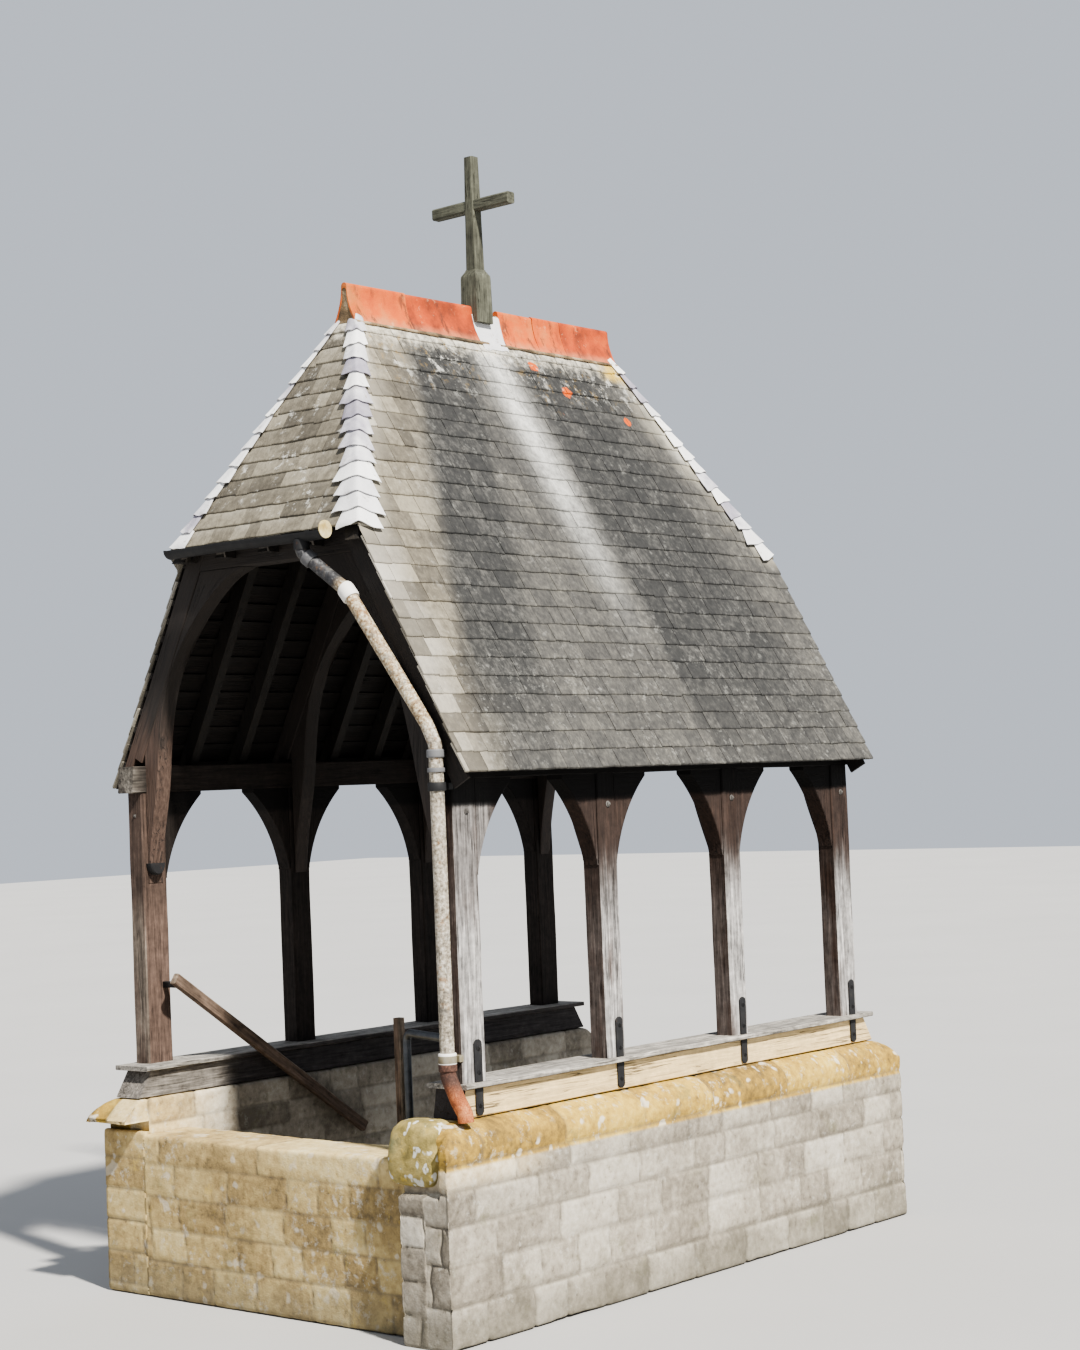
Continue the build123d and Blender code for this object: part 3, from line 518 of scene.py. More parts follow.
# %% Slates
def slate_blocks(place, limit, near_limit, length, exposure, seed):
    """Blocks for one roof face.

    place(s, t, h) gives the point at distance s up the slope, t across it and h above it.
    limit(s) and near_limit(s) say how far the face reaches to its far and near side. Each
    slate spans its own width and falls from its tail to its head, which the next courses hide.
    """
    random = np.random.default_rng(seed)
    narrowest, widest, gap = 0.085, 0.185, 0.0024
    courses = int(round(length / exposure))
    exposure = length / courses
    rows = []
    for course in range(courses):
        reach = float(limit(np.array(course * exposure)))
        widths = random.uniform(narrowest, widest, int(2 * reach / narrowest) + 3)
        edges = -reach - random.uniform(0.0, 0.1) + np.concatenate([[0.0], np.cumsum(widths)])
        edges = edges[: np.searchsorted(edges, reach) + 1]
        rows.append(spread(course * exposure, edges[:-1], edges[1:]))
    tail, left, right = np.concatenate(rows).T[..., None, None]
    count = len(tail)

    def draw(low, high, across=1):
        return random.uniform(low, high, (count, across, 1))

    lift = draw(-0.003, 0.0)
    has_slipped = random.random((count, 1, 1)) < 0.08
    slip = np.where(has_slipped, draw(-0.009, 0.0), 0.0) + draw(-0.0025, 0.0025)
    thick, skew, worn = draw(0.0065, 0.0115), draw(-0.004, 0.004), draw(-0.0022, 0.0022, 5)
    u = np.linspace(0, 1, 5)[:, None]
    v = np.array([0.0, 0.0, 0.06, 0.5, 1.0, 1.0])
    drop = np.array([1.0, 0.22, 0.0, 0.0, 0.0, 1.0])
    s = tail + slip + (worn + skew * (u - 0.5)) * (v < 0.3)
    s = np.maximum(s + v * (exposure * 1.55) + 0.004 * (drop == 0.22), 0.0)
    t = left + gap / 2 + (right - left - gap) * u + 0 * s
    noise = wave_noise(spread(s, t, 0.0), 14.0, seed)
    h = np.minimum(lift - drop * thick - v * 0.012 + 0.0012 * noise, -0.0002)
    t = np.clip(t, -np.minimum(limit(s), near_limit(s)), limit(s))
    keep = (t[:, -1, 1] - t[:, 0, 1]) > 0.004
    s, t, h = s[keep], t[keep], h[keep]
    count, each = len(s), u.size * v.size
    starts = np.arange(count)[:, None, None] * each
    sides, *caps = closed_tube(u.size, v.size)
    blocks = [(block + starts).reshape(-1, block.shape[1])
              for block in (sides, np.concatenate(caps))]
    tone = np.repeat(random.random(count), each)
    run = spread(t, s, random.random((count, 1, 1)) * 9.0)
    values = {"slate_tone": tone, "slate_run": run.reshape(-1, 3)}
    return place(s, t, h).reshape(-1, 3), blocks, values


def outward_first(part, centre):
    """Turns a part's faces over if one of its first looks towards centre rather than away."""
    points, faces, values = part
    a, b, c = points[faces[0][8, :3]]
    inward = np.dot(np.cross(b - a, c - a), a - centre) < 0
    return points, turned_over(faces) if inward else faces, values


def place_on_side(sign):
    """Side slope: x = eave - s cos + h sin, z = eave + s sin + h cos, mirrored for the left."""
    return lambda s, t, h: spread(sign * (eave_x - s * cos_s + h * sin_s), t,
                                  eave_z + s * sin_s + h * cos_s)


def place_on_hip(sign):
    """Hip: the same rule with y in place of x, climbing from the gable's eave."""
    return lambda s, t, h: spread(t, sign * (verge_y - s * cos_h + h * sin_h),
                                  hip_eave_z + s * sin_h + h * cos_h)


def side_limit(s):
    """Half-length of the side slope: the verge, then the hip line."""
    z = eave_z + s * sin_s
    return np.minimum(verge_y - 0.0005, verge_y - (z - hip_eave_z) / hip_rise)


def left_near_limit(s):
    """The near verge of the left slope is set back under the hip's corner."""
    return np.where(eave_z + s * sin_s < hip_eave_z - 0.045, 0.0 * s + 1.712, 10.0)


def hip_limit(s):
    """Half-width of the hip between the two side slopes."""
    return np.maximum((apex_z - hip_eave_z - s * sin_h) / slope_rise, 0.0)


ridge_z = ground + 4.352
side_length, side_exposure = (ridge_z - eave_z) / sin_s, 0.1065
hip_length, hip_exposure = (ridge_z - hip_eave_z) / sin_h, 0.0985
roof_middle = np.array([0.0, 0.0, eave_z])
roof_faces = {
    "right_slope": (place_on_side(1), side_limit, side_limit, side_length, side_exposure),
    "left_slope": (place_on_side(-1), side_limit, left_near_limit, side_length, side_exposure),
    "near_hip": (place_on_hip(-1), hip_limit, hip_limit, hip_length, hip_exposure),
    "far_hip": (place_on_hip(1), hip_limit, hip_limit, hip_length, hip_exposure)}
for seed, (node, face) in enumerate(roof_faces.items(), 11):
    part = outward_first(slate_blocks(*face, seed), roof_middle)
    name = node.replace("_slope", "") + "_slates"
    make_piece(name, [part], [node], smooth=False)
    print(name, len(part[0]) // 30, "slates")

# %% [markdown]
# ## Battens and slate backs
# From below one sees the backs of the slates between thin battens. A stepped line up the slope,
# carried along the roof and cut at the hips, gives battens and backs in one closed sheet.

# %% Underside of the roof
def lining_part(place, limit, near_limit, length, exposure):
    """Closed sheet: 39.5 mm deep under each batten, 26 mm between them, top face at 24.5 mm."""
    courses = int(round(length / exposure))
    tail = np.arange(courses)[:, None] * (length / courses)
    s = (tail + np.array([0.03, 0.03, 0.062, 0.062])).ravel()
    h = np.tile([-0.026, -0.0395, -0.0395, -0.026], courses)
    s = np.concatenate([[0.006], s, [length]])
    h = np.concatenate([[-0.026], h, [-0.026]])
    s = np.concatenate([s, s[::-1]])
    h = np.concatenate([h, np.full(len(h), -0.0245)])
    inset, least, rows = 0.012, 0.001, 25
    reach = np.maximum(limit(s) - inset, least)
    near = np.minimum(reach, np.maximum(near_limit(s) - inset, least))
    share = np.linspace(0, 1, rows)[:, None]
    t = -near * (1 - share) + reach * share
    points = place(s, t, h).reshape(-1, 3)
    return points, hollow_tube(rows, len(s)), {"grain": points[:, [0, 2, 1]]}


parts = []
for node, face in roof_faces.items():
    points, faces, values = lining_part(*face)
    if node in ("right_slope", "near_hip"):
        faces = turned_over(faces)
    parts.append((points, faces, values))
make_piece("roof_lining", parts, smooth=False)
print("lining:", sum(len(part[0]) for part in parts), "points")

# %% [markdown]
# ## Hip coverings
# Down each hip runs a row of folded sheets, dull white with a lilac bloom, widest at the eave.
# Each is a sheet bent over the hip line: distance from the line is shared between the two
# roof planes by a hyperbola, which rounds the fold. The tails lift over the sheet below.

# %% Folded sheets on the hips
def sheet_part(top, thickness, tone):
    """Closed sheet from a grid of top points: the underside lies thickness below along the
    grid's own normals, and a rim joins the two."""
    rows, cols = top.shape[:2]
    normal = unit(np.cross(np.gradient(top, axis=1), np.gradient(top, axis=0)))
    faces = grid_faces(rows, cols)
    ids = np.arange(rows * cols).reshape(rows, cols)
    rim = np.concatenate([ids[0, :-1], ids[:-1, -1], ids[-1, :0:-1], ids[:0:-1, 0]])
    rim_next = np.roll(rim, -1)
    below = rows * cols
    skirt = np.stack([rim, rim + below, rim_next + below, rim_next], 1)
    return toned([top, top - normal * thickness], [faces, faces[:, ::-1] + below, skirt], tone)


def hip_point(z):
    """Point of the near right hip line at a height."""
    return np.array([(apex_z - z) / slope_rise, -(verge_y - (z - hip_eave_z) / hip_rise), z])


def hip_sheets(count, seed, slim):
    """Folded sheets on the near right hip, from the eave's corner to the ridge."""
    random = np.random.default_rng(seed)
    start, end = hip_point(hip_eave_z), hip_point(ground + 4.345)
    total = np.linalg.norm(end - start)
    along = (end - start) / total
    normal_side, normal_hip = np.array([sin_s, 0, cos_s]), np.array([0, -sin_h, cos_h])
    across_side, across_hip = np.cross(normal_side, along), np.cross(normal_hip, along)
    across_side *= np.sign(across_side[1])
    across_hip *= -np.sign(across_hip[0])
    lift_way = unit(normal_side + normal_hip)
    u, v = np.linspace(-1, 1, 17), np.linspace(0, 1, 7)[:, None]
    step, soft, parts = total / count, 0.01, []
    for k in range(count):
        wide = slim * (0.074 + 0.1 * (1 - k / count) ** 1.4) * random.uniform(0.88, 1.14)
        taper = 1 - (0.42 + random.uniform(-0.12, 0.12)) * v
        reach = u * taper * np.where(u < 0, wide * random.uniform(0.95, 1.12), wide)
        slant = random.uniform(-0.16, 0.1) * wide
        curl = (slant * u + 0.01 * np.abs(u) ** 4 + 0.004 * np.sin(u * 7 + k)) * (1 - v)
        s = k * step + v * step * 1.25 + curl + 0.2 * (np.abs(reach) - 0.3 * wide)
        s = np.clip(s, 0.003, total + 0.02)
        root = np.sqrt(reach ** 2 + soft ** 2)
        lift = 0.006 + 0.013 * (1 - v) ** 1.5 + 0.0022 * np.sin(u * 9 + k * 2) * (1 - v)
        lift = lift - 0.004 * (np.abs(u) > 0.93)
        points = (start + along * s[..., None] + across_side * ((root + reach) / 2)[..., None]
                  + across_hip * ((root - reach) / 2)[..., None] + lift_way * lift[..., None])
        points[..., 1] = np.maximum(points[..., 1], -verge_y - 0.012)
        parts.append(sheet_part(points, 0.004, random.random()))
    return parts


parts = []
for i, (flip_y, flip_x) in enumerate(np.ndindex(2, 2)):
    sheets = hip_sheets(14, 30 + i, 0.62 if flip_x else 1.0)
    parts += [flipped(part, flip_x, flip_y) for part in sheets]
make_piece("hip_sheets", parts, ["hip_leads"], sharp=50)
print("hip sheets:", len(parts))

# %% [markdown]
# ## Ridge tiles
# Tall terracotta tiles stand over the ridge. Their sides flare out in a hollow curve to the
# slates. One closed section is carried along each tile; every tile gets its own slight tilt,
# and a bead of mortar closes the foot of both sides.

# %% Ridge tiles and mortar
tile_half, tile_neck, tile_bend = 0.084, 0.02, 1.9
tile_low, tile_top = ground + 4.316, ground + 4.538


def flared_section(grow, steps=12):
    """Half outline from foot to crown, then mirrored: x shrinks fast at first, then slowly."""
    a = np.linspace(0, 1, steps)
    x = tile_neck + (tile_half - tile_neck) * (1 - a) ** tile_bend
    z = tile_low + (tile_top - tile_neck - tile_low) * a
    crown = np.linspace(0, math.pi, 9)[1:-1]
    top_z = tile_top - tile_neck + tile_neck * np.sin(crown)
    outline = np.concatenate([spread(x, z), spread(tile_neck * np.cos(crown), top_z),
                              spread(-x[::-1], z[::-1])])
    centre = np.array([0.0, tile_low])
    return centre + (outline - centre) * (1 + grow)


def ridge_tile(y0, y1, seed):
    """One tile: outer and inner outline joined at the feet, tilted and worn a little."""
    random = np.random.default_rng(seed)
    tilt, lean = random.uniform(-0.004, 0.004), random.uniform(-0.003, 0.003)
    lift = random.uniform(-0.005, 0.0)
    x, z = np.concatenate([flared_section(0.0), flared_section(-0.13)[::-1]]).T
    y = np.linspace(y0 + 0.0015, y1 - 0.0015, 13)[:, None]
    share = (y - y0) / (y1 - y0) - 0.5
    high = (z - tile_low) / (tile_top - tile_low)
    foot = 0.004 * wave_noise(spread(np.sign(x), y, 0.0), 9.0, seed) * (1 - high) ** 2
    z = z + lift * high + tilt * share * high + foot - 0.003 * (1 - high)
    x = x + lean * high + 0.0012 * wave_noise(spread(x, y, z), 7.0, seed)
    points = spread(x, y, np.minimum(z, tile_top))
    return toned(points, turned_over(hollow_tube(*points.shape[:2])), random.random())


def mortar_bed(y0, y1, seed):
    """Solid core just inside the tiles, which shows at their open ends."""
    x, z = flared_section(-0.15).T
    y = np.linspace(y0, y1, 9)[:, None] + 0.006 * wave_noise(spread(x, z, 0.0), 22.0, seed)
    return toned(spread(x, y, z), turned_over(closed_tube(*y.shape)))


def mortar_bead(y0, y1, sign, seed):
    """Uneven bead at the foot of the tiles: a half-round pressed against slope and tile."""
    y = np.linspace(y0, y1, int((y1 - y0) / 0.012))[:, None]
    turn = np.linspace(0, 2 * math.pi, 11)[:-1]
    place = spread(y, 0.0, sign)
    size = 0.009 + 0.0035 * wave_noise(place, 11.0, seed) + 0.002 * wave_noise(place, 47.0, seed)
    size = np.clip(size, 0.003, 0.016)
    x = 0.0835 + size * 1.15 * np.cos(turn)
    z = ground + 4.3125 + size * 0.95 * np.sin(turn) - 0.6 * size * np.maximum(np.cos(turn), 0)
    faces = closed_tube(*z.shape)
    return toned(spread(sign * x, y, z), turned_over(faces) if sign > 0 else faces)


for name, joints, first in (("near_ridge_tiles", (-1.129, -0.664, -0.112), 50),
                            ("far_ridge_tiles", (0.112, 0.416, 0.665, 1.129), 60)):
    parts = [ridge_tile(a, b, first + i) for i, (a, b) in enumerate(zip(joints, joints[1:]))]
    make_piece(name + "_clay", parts, [name], sharp=45)
    print(name, len(parts))
parts = [mortar_bed(-1.122, -0.1, 3), mortar_bed(0.1, 1.122, 4)]
parts += [mortar_bead(y0, y1, sign, 5)
          for y0, y1 in ((-1.128, -0.05), (0.05, 1.128)) for sign in (1, -1)]
make_piece("ridge_mortar", parts, sharp=50)

# %% [markdown]
# ## Weathering under the cross
# Between the two runs of tiles a pale fill of mortar and lead stands round the pedestal. It has
# the tiles' section, a little smaller, and laps just over the top slates with a ragged edge.

# %% Apron
def apron_part():
    """Sheet over the ridge: inside the tiles' width it follows their flared side, outside it the
    slates, with edges moved by a noise and a rim bent down."""
    v, u = np.linspace(-1, 1, 33)[:, None], np.linspace(-1, 1, 61)
    x = u * (0.103 + 0.007 * wave_noise(spread(v * 0.9, np.sign(u), 0.0), 3.1, 2))
    noise = wave_noise(spread(u * 0.8, np.sign(v), 0.0), 4.0, 6)
    y = v * np.minimum(0.117 - 0.012 * np.abs(u) ** 2 + 0.004 * noise, 0.118)
    out = np.abs(x)
    climb = 1 - np.clip((out - tile_neck) / (tile_half - tile_neck), 0, 1) ** (1 / tile_bend)
    hump = tile_low + (tile_top - tile_low) * climb - 0.004
    z = np.where(out < tile_half, hump, apex_z - out * slope_rise + 0.011)
    z = np.minimum(z + 0.003 * wave_noise(spread(x, y, 0.0), 12.0, 9),
                   ground + 4.498 - 0.3 * out)
    z = z - 0.01 * (np.abs(u) > 0.97) - 0.006 * (np.abs(v) > 0.97)
    return sheet_part(spread(x, y, z), 0.02, 0.5)


part = apron_part()
make_piece("cross_apron", [part], ["lead_saddle"], sharp=50)
print("apron:", len(part[0]), "points")

# %% [markdown]
# ## Cross and its pedestal
# The real cross is two square timbers, halved where they cross, with stopped chamfers; here the
# shaft is one timber and each arm a shorter one from its side, chamfered all along. The pedestal
# is a heavier square block that narrows to the shaft.

# %% Cross
def square_shaft(knots, start, direction, across, side, seed, chamfer=0.0085):
    """Square timber whose half-width changes along its length: knots are (distance, half)."""
    at, half_at = np.asarray(knots, float).T
    count = max(10, int((at[-1] - at[0]) / 0.02))
    distance = np.unique(np.concatenate([np.linspace(at[0], at[-1], count), at]))
    half = np.interp(distance, at, half_at)
    line = np.asarray(start, float) + direction * distance[:, None]
    return beam_part(line - across * half[:, None], line + across * half[:, None], side,
                     2 * half, chamfer, 0.0008, seed, per_face=4)


cross_y, block_low, shaft_low, cross_top, arm_z = -0.045, 4.438, 4.744, 5.408, 5.122
block = [(0.0, 0.069), (0.262, 0.0655), (0.276, 0.064), (0.306, 0.0455), (0.312, 0.045)]
pedestal = square_shaft(block, (0, cross_y, ground + block_low), Z, X, Y, 71.0, 0.008)
make_timber("oak_pedestal", [pedestal], "cross_pedestal")
parts = [square_shaft([(0.0, 0.0418), (cross_top - shaft_low, 0.0328)],
                      (0, cross_y, ground + shaft_low), Z, X, Y, 72.0)]
arm_root, arm_reach, arm_half = 0.029, 0.29, 0.0334
for sign in (1, -1):
    parts.append(square_shaft([(0.0, arm_half), (arm_reach - arm_root, arm_half)],
                              (sign * arm_root, cross_y, ground + arm_z), sign * X, Z, Y,
                              73.0 + sign))
make_timber("oak_cross", parts, "cross")
print("cross:", len(parts), "timbers")

# %% [markdown]
# ## Rainwater goods
# A half-round gutter hangs under the near hip. A pipe leaves it with a swan neck, slants along
# the gable and drops beside the corner post into a rusty shoe. Round parts are rings carried
# along a smooth line; the collars are rings of larger radius on the same line.

# %% Helpers for round parts
def with_tone(part, tone):
    """The part with one tone in place of its other values."""
    return part[0], part[1], {"piece_tone": tone}


def full_turn(sides):
    """Angles of evenly spaced points on a circle."""
    return np.linspace(0, 2 * math.pi, sides + 1)[:-1]


def tube_along(line, radius, sides=24, tone=0.5):
    """Rings of the given radius square to a line: the ring's directions are carried along it."""
    line = np.asarray(line, float)
    radius = np.broadcast_to(np.asarray(radius, float), (len(line),))[:, None, None]
    forward = unit(np.gradient(line, axis=0))
    first = unit(np.cross(Y if abs(forward[0, 1]) < 0.9 else X, forward))
    second = np.cross(forward, first)
    turn = full_turn(sides)[:, None]
    points = line[:, None] + radius * (first[:, None] * np.cos(turn)
                                       + second[:, None] * np.sin(turn))
    return toned(points, closed_tube(len(line), sides), tone)


def rounded_line(points, radius, per_bend=9, spacing=0.05):
    """Polyline whose corners are replaced by arcs tangent to both neighbours."""
    points = [np.asarray(p, float) for p in points]
    line, t = [points[0]], np.linspace(0, 1, per_bend)[:, None]
    for before, corner, after in zip(points[:-2], points[1:-1], points[2:]):
        length_a, length_b = np.linalg.norm(before - corner), np.linalg.norm(after - corner)
        a, b = (before - corner) / length_a, (after - corner) / length_b
        half_turn = math.acos(np.clip(a @ b, -1, 1)) / 2
        cut = min(radius / math.tan(half_turn), 0.48 * length_a, 0.48 * length_b)
        line += list(((1 - t) ** 2) * (corner + a * cut) + 2 * t * (1 - t) * corner
                     + t ** 2 * (corner + b * cut))
    line = np.array(line + [points[-1]])
    step = run_length(line)
    keep = np.concatenate([[True], np.diff(step) > 1e-5])
    line, step = line[keep], step[keep]
    spots = np.unique(np.concatenate([step, np.arange(0, step[-1], spacing)]))
    spots = spots[np.concatenate([[True], np.diff(spots) > 0.003])]
    return np.stack([np.interp(spots, step, line[:, i]) for i in range(3)], 1)


def points_on(line, spots):
    """Points at distances along a polyline."""
    step = run_length(line)
    return np.stack([np.interp(spots, step, line[:, i]) for i in range(3)], 1)


def collar(line, spot, length, radius, tone):
    """Short thicker ring with rounded rims, on a line at a distance along it."""
    spots = spot + length * np.array([-0.5, -0.5, -0.42, -0.3, 0.3, 0.42, 0.5, 0.5])
    spots = spots + np.array([-1e-4, 0, 0, 0, 0, 0, 0, 1e-4])
    radii = radius * np.array([0.8, 0.93, 0.99, 1.0, 1.0, 0.99, 0.93, 0.8])
    centres = points_on(line, spots)
    points, faces, _ = tube_along(centres, radii, pipe_sides)
    level = np.repeat(centres[:, 2] - ground, pipe_sides)
    return points, faces, {"piece_tone": tone, "pipe_height": level}


pipe_sides = 28
print("tubes have 24 to", pipe_sides, "sides")

# %% [markdown]
# The gutter is an open trough: its ring runs along the outer half circle and back along the
# inner one. Discs close its ends and three flat hooks carry it.

# %% Gutter
gutter_r = 0.046
gutter_y, gutter_z = -verge_y - gutter_r, ground + 3.102
gutter_left, gutter_right, outlet_x = -0.66, 0.52, 0.345
lower_half = np.linspace(math.pi, 2 * math.pi, 19)


def half_round(x0, x1, outer, inner):
    """Trough open at the top: outer half circle from lip to lip, then the inner one back."""
    turn, back = lower_half, lower_half[::-1]
    ring_y = np.concatenate([outer * np.cos(turn), inner * np.cos(back)])
    ring_z = np.concatenate([outer * np.sin(turn), inner * np.sin(back)])
    x = np.linspace(x0, x1, 30)[:, None]
    sag = 0.0025 * np.sin((x - x0) / (x1 - x0) * 5.0)
    points = spread(x, gutter_y + ring_y, gutter_z + ring_z + sag - 0.0025)
    return toned(points, hollow_tube(*points.shape[:2]), 0.4)


def gutter_arc(x, size, turn):
    """Points at an angle round the gutter's middle line."""
    return spread(x, gutter_y + size * np.cos(turn), gutter_z + size * np.sin(turn))


def gutter_end(x0, x1, tone, turn):
    """Stop at one end of the trough: a half disc, or the full one that shows at the right."""
    return toned(gutter_arc([[x0], [x1]], gutter_r - 0.0004, turn), closed_tube(2, len(turn)), tone)


parts = [half_round(gutter_left + 0.004, gutter_right - 0.004, gutter_r - 0.0015,
                    gutter_r - 0.0055),
         gutter_end(gutter_left, gutter_left + 0.01, 0.3, lower_half),
         gutter_end(gutter_right - 0.006, gutter_right, 0.95, full_turn(32))]
for x in (-0.45, 0.06, 0.43):
    turn = np.linspace(math.pi, 2 * math.pi, 21)
    hook = beam_part(gutter_arc(x, 0.0412, turn), gutter_arc(x, 0.0454, turn), X, 0.024, 0.0005,
                     0.0, 1.0, per_face=2)
    parts.append(with_tone(hook, 0.2))
outlet = [(outlet_x, gutter_y, gutter_z - fall) for fall in (0.036, 0.042, 0.088)]
parts.append(tube_along(outlet, [0.039, 0.041, 0.041], tone=0.3))
make_piece("cast_gutter", parts, ["gutter"], sharp=40)
print("gutter parts:", len(parts))

# %% [markdown]
# The pipe follows a line of seven points whose corners are rounded. Each of its points keeps
# its height above the churchyard, because the paint has worn differently from top to foot. The
# shoe is a short hollow pipe, so its ends are rings and not discs.

# %% Pipe and shoe
pipe_x, pipe_y, pipe_bend = 1.163, -1.793, 0.058
pipe_line = rounded_line([
    (outlet_x, gutter_y, gutter_z - 0.05), (outlet_x, gutter_y, ground + 3.002),
    (0.442, pipe_y - 0.01, ground + 2.905), (0.6, pipe_y, ground + 2.79),
    (1.118, pipe_y, ground + 2.088), (pipe_x, pipe_y, ground + 1.995),
    (pipe_x, pipe_y, ground + 0.452)], pipe_bend)
pipe_length = run_length(pipe_line)
bend_end, elbow_end = (float(np.interp(-(ground + level), -pipe_line[:, 2], pipe_length))
                       for level in (2.79, 1.95))
points, faces, _ = tube_along(pipe_line, 0.0356, pipe_sides)
height = np.repeat(pipe_line[:, 2] - ground, pipe_sides)
parts = [(points, faces, {"piece_tone": 0.5, "pipe_height": height})]
for spot, length, radius, tone in (
        (bend_end + 0.02, 0.075, 0.0455, 0.9), (elbow_end, 0.04, 0.045, 0.1),
        (elbow_end + 0.08, 0.022, 0.044, 0.1), (pipe_length[-1] - 0.03, 0.055, 0.045, 0.9),
        (0.1, 0.05, 0.0435, 0.2)):
    parts.append(collar(pipe_line, spot, length, radius, tone))
make_piece("cast_downpipe", parts, ["downpipe"], sharp=40)
print("pipe parts:", len(parts))


def hollow_pipe(line, outer, inner):
    """Pipe with a wall: outer and inner tube, joined by a ring at each end."""
    outside, inside = tube_along(line, outer, pipe_sides), tube_along(line, inner, pipe_sides)
    below, last = len(line) * pipe_sides, (len(line) - 1) * pipe_sides
    rim = np.arange(pipe_sides)
    rim_next = np.roll(rim, -1)
    start_ring = np.stack([rim, rim + below, rim_next + below, rim_next], 1)
    end_ring = np.stack([rim, rim_next, rim_next + below, rim + below], 1) + last
    faces = [outside[1][0], inside[1][0][:, ::-1] + below, start_ring, end_ring]
    return toned(np.concatenate([outside[0], inside[0]]), faces)


shoe_line = rounded_line([(pipe_x, pipe_y, ground + 0.452), (pipe_x, pipe_y, ground + 0.4),
                          (1.222, pipe_y, ground + 0.285), (1.264, pipe_y, ground + 0.225),
                          (1.268, pipe_y, ground + 0.184)], pipe_bend, 8, 0.02)
upright = np.array([(pipe_x, pipe_y, ground + 0.47), (pipe_x, pipe_y, ground + 0.38)])
parts = [hollow_pipe(shoe_line, 0.0392 + 0.0008 * wave_noise(shoe_line, 30, 3), 0.033),
         with_tone(collar(upright, 0.03, 0.036, 0.0455, 0.8), 0.8)]
make_piece("rusty_shoe", parts, ["pipe_shoe"], sharp=45)
print("shoe parts:", len(parts))

# %% [markdown]
# ## Masonry
# Two low walls carry the timber frame, with long rounded ochre stones in the top course
# outside and smaller squared stones below and inside. The section is carried along the wall as
# one fine grid. Each point asks which stone it is in and how far the nearest joint is, so the
# joints become real grooves and every stone gets its own number for the material.

# %% Stone courses
sole_low = post_foot - 0.026 - 0.145
shoulder_z = sole_low - 0.105
wall_inner, wall_outer, wall_end = 1.0, 1.32, 2.0
outer_courses = np.array([-0.02, 0.2, 0.395, 0.575, 0.735, 0.855, sole_low + 0.02])
inner_courses = np.array([-0.02, 0.15, 0.31, 0.47, 0.62, 0.78, 0.905, sole_low + 0.02])
outer_lengths = [(0.25, 0.5)] * 4 + [(0.3, 0.55), (0.52, 0.9)]
inner_lengths = [(0.2, 0.46)] * 7


def stone_pattern(run, height, courses, lengths, seed):
    """Stone number, distance to the nearest bed joint and to the nearest upright joint.

    courses are the heights of the bed joints; in each course the upright joints are drawn at
    random between the given shortest and longest stone, staggered from course to course.
    """
    index = np.clip(np.searchsorted(courses, height) - 1, 0, len(courses) - 2)
    bed = np.minimum(np.abs(height - courses[index]), np.abs(courses[index + 1] - height))
    upright, number = np.full(run.shape, 1.0), np.zeros(run.shape)
    for course in range(len(courses) - 1):
        random = np.random.default_rng(seed * 101 + course)
        joints = -2.4 + np.cumsum(random.uniform(*lengths[course], 60))
        inside = index == course
        value = run[inside] + 0.006 * np.sin(height[inside] * 40 + course)
        spot = np.clip(np.searchsorted(joints, value), 1, len(joints) - 1)
        upright[inside] = np.minimum(np.abs(value - joints[spot - 1]),
                                     np.abs(joints[spot] - value))
        number[inside] = np.mod((spot + course * 17.0) * 0.6180339, 1.0)
    return number, bed, upright


def soft_section(outline, spacing):
    """Closed outline redrawn with about equal spacing, then each point moved three times
    towards the middle of its neighbours, which rounds the corners."""
    outline, pieces = np.asarray(outline, float), []
    for start, end in zip(outline, np.roll(outline, -1, 0)):
        count = max(1, int(round(np.linalg.norm(end - start) / spacing)))
        pieces.append(start + (end - start) * np.linspace(0, 1, count + 1)[:-1, None])
    ring = np.concatenate(pieces)
    for _ in range(3):
        ring = ring * 0.5 + (np.roll(ring, 1, -2) + np.roll(ring, -1, -2)) * 0.25
    return ring


print("courses outside:", len(outer_courses) - 1, "inside:", len(inner_courses) - 1)

# %% [markdown]
# The wall's body is the section at every row, with the ends sloped by lowering its top. Each
# end face is the last section shrunk to its middle in many rings, so it is as fine as the
# rest. Then each point moves along the surface's own direction: into a joint, and unevenly
# over the stones.

# %% Walls
end_rings = 34


def wall_grid(undercut):
    """Rows of the wall's section along y, with shrinking rings before the first and after the
    last. The undercut lifts the left wall's foot over the kerb."""
    outline = [(wall_inner, 0.0), (wall_outer, 0.0), (wall_outer, shoulder_z),
               (wall_outer - 0.022, shoulder_z + 0.055), (half_width + 0.012, sole_low),
               (wall_inner, sole_low)]
    x, z = soft_section(outline, 0.0135).T
    x = np.clip(x, wall_inner, wall_outer)
    rows = np.concatenate([np.arange(-wall_end, wall_end + 0.001, 0.0135),
                           [wall_end, -1.8302, -1.8298]])
    y = np.unique(rows)[:, None]
    fall = np.clip((np.abs(y) - (wall_end - 0.13)) / 0.13, 0, 1)
    z = np.minimum(z, sole_low - (sole_low - shoulder_z) * fall ** 1.3)
    if undercut:
        z = np.where(y < -1.83, np.maximum(z, ground + 0.067), z)
    body = spread(x, y, z)
    share, ends = np.linspace(0.965, 0.02, end_rings)[:, None, None], []
    for row in (body[0], body[-1]):
        middle = np.array([wall_middle, row[0, 1], row[:, 2].mean()])
        ends.append(middle + (row - middle) * share)
    return np.concatenate([ends[0][::-1], body, ends[1]])


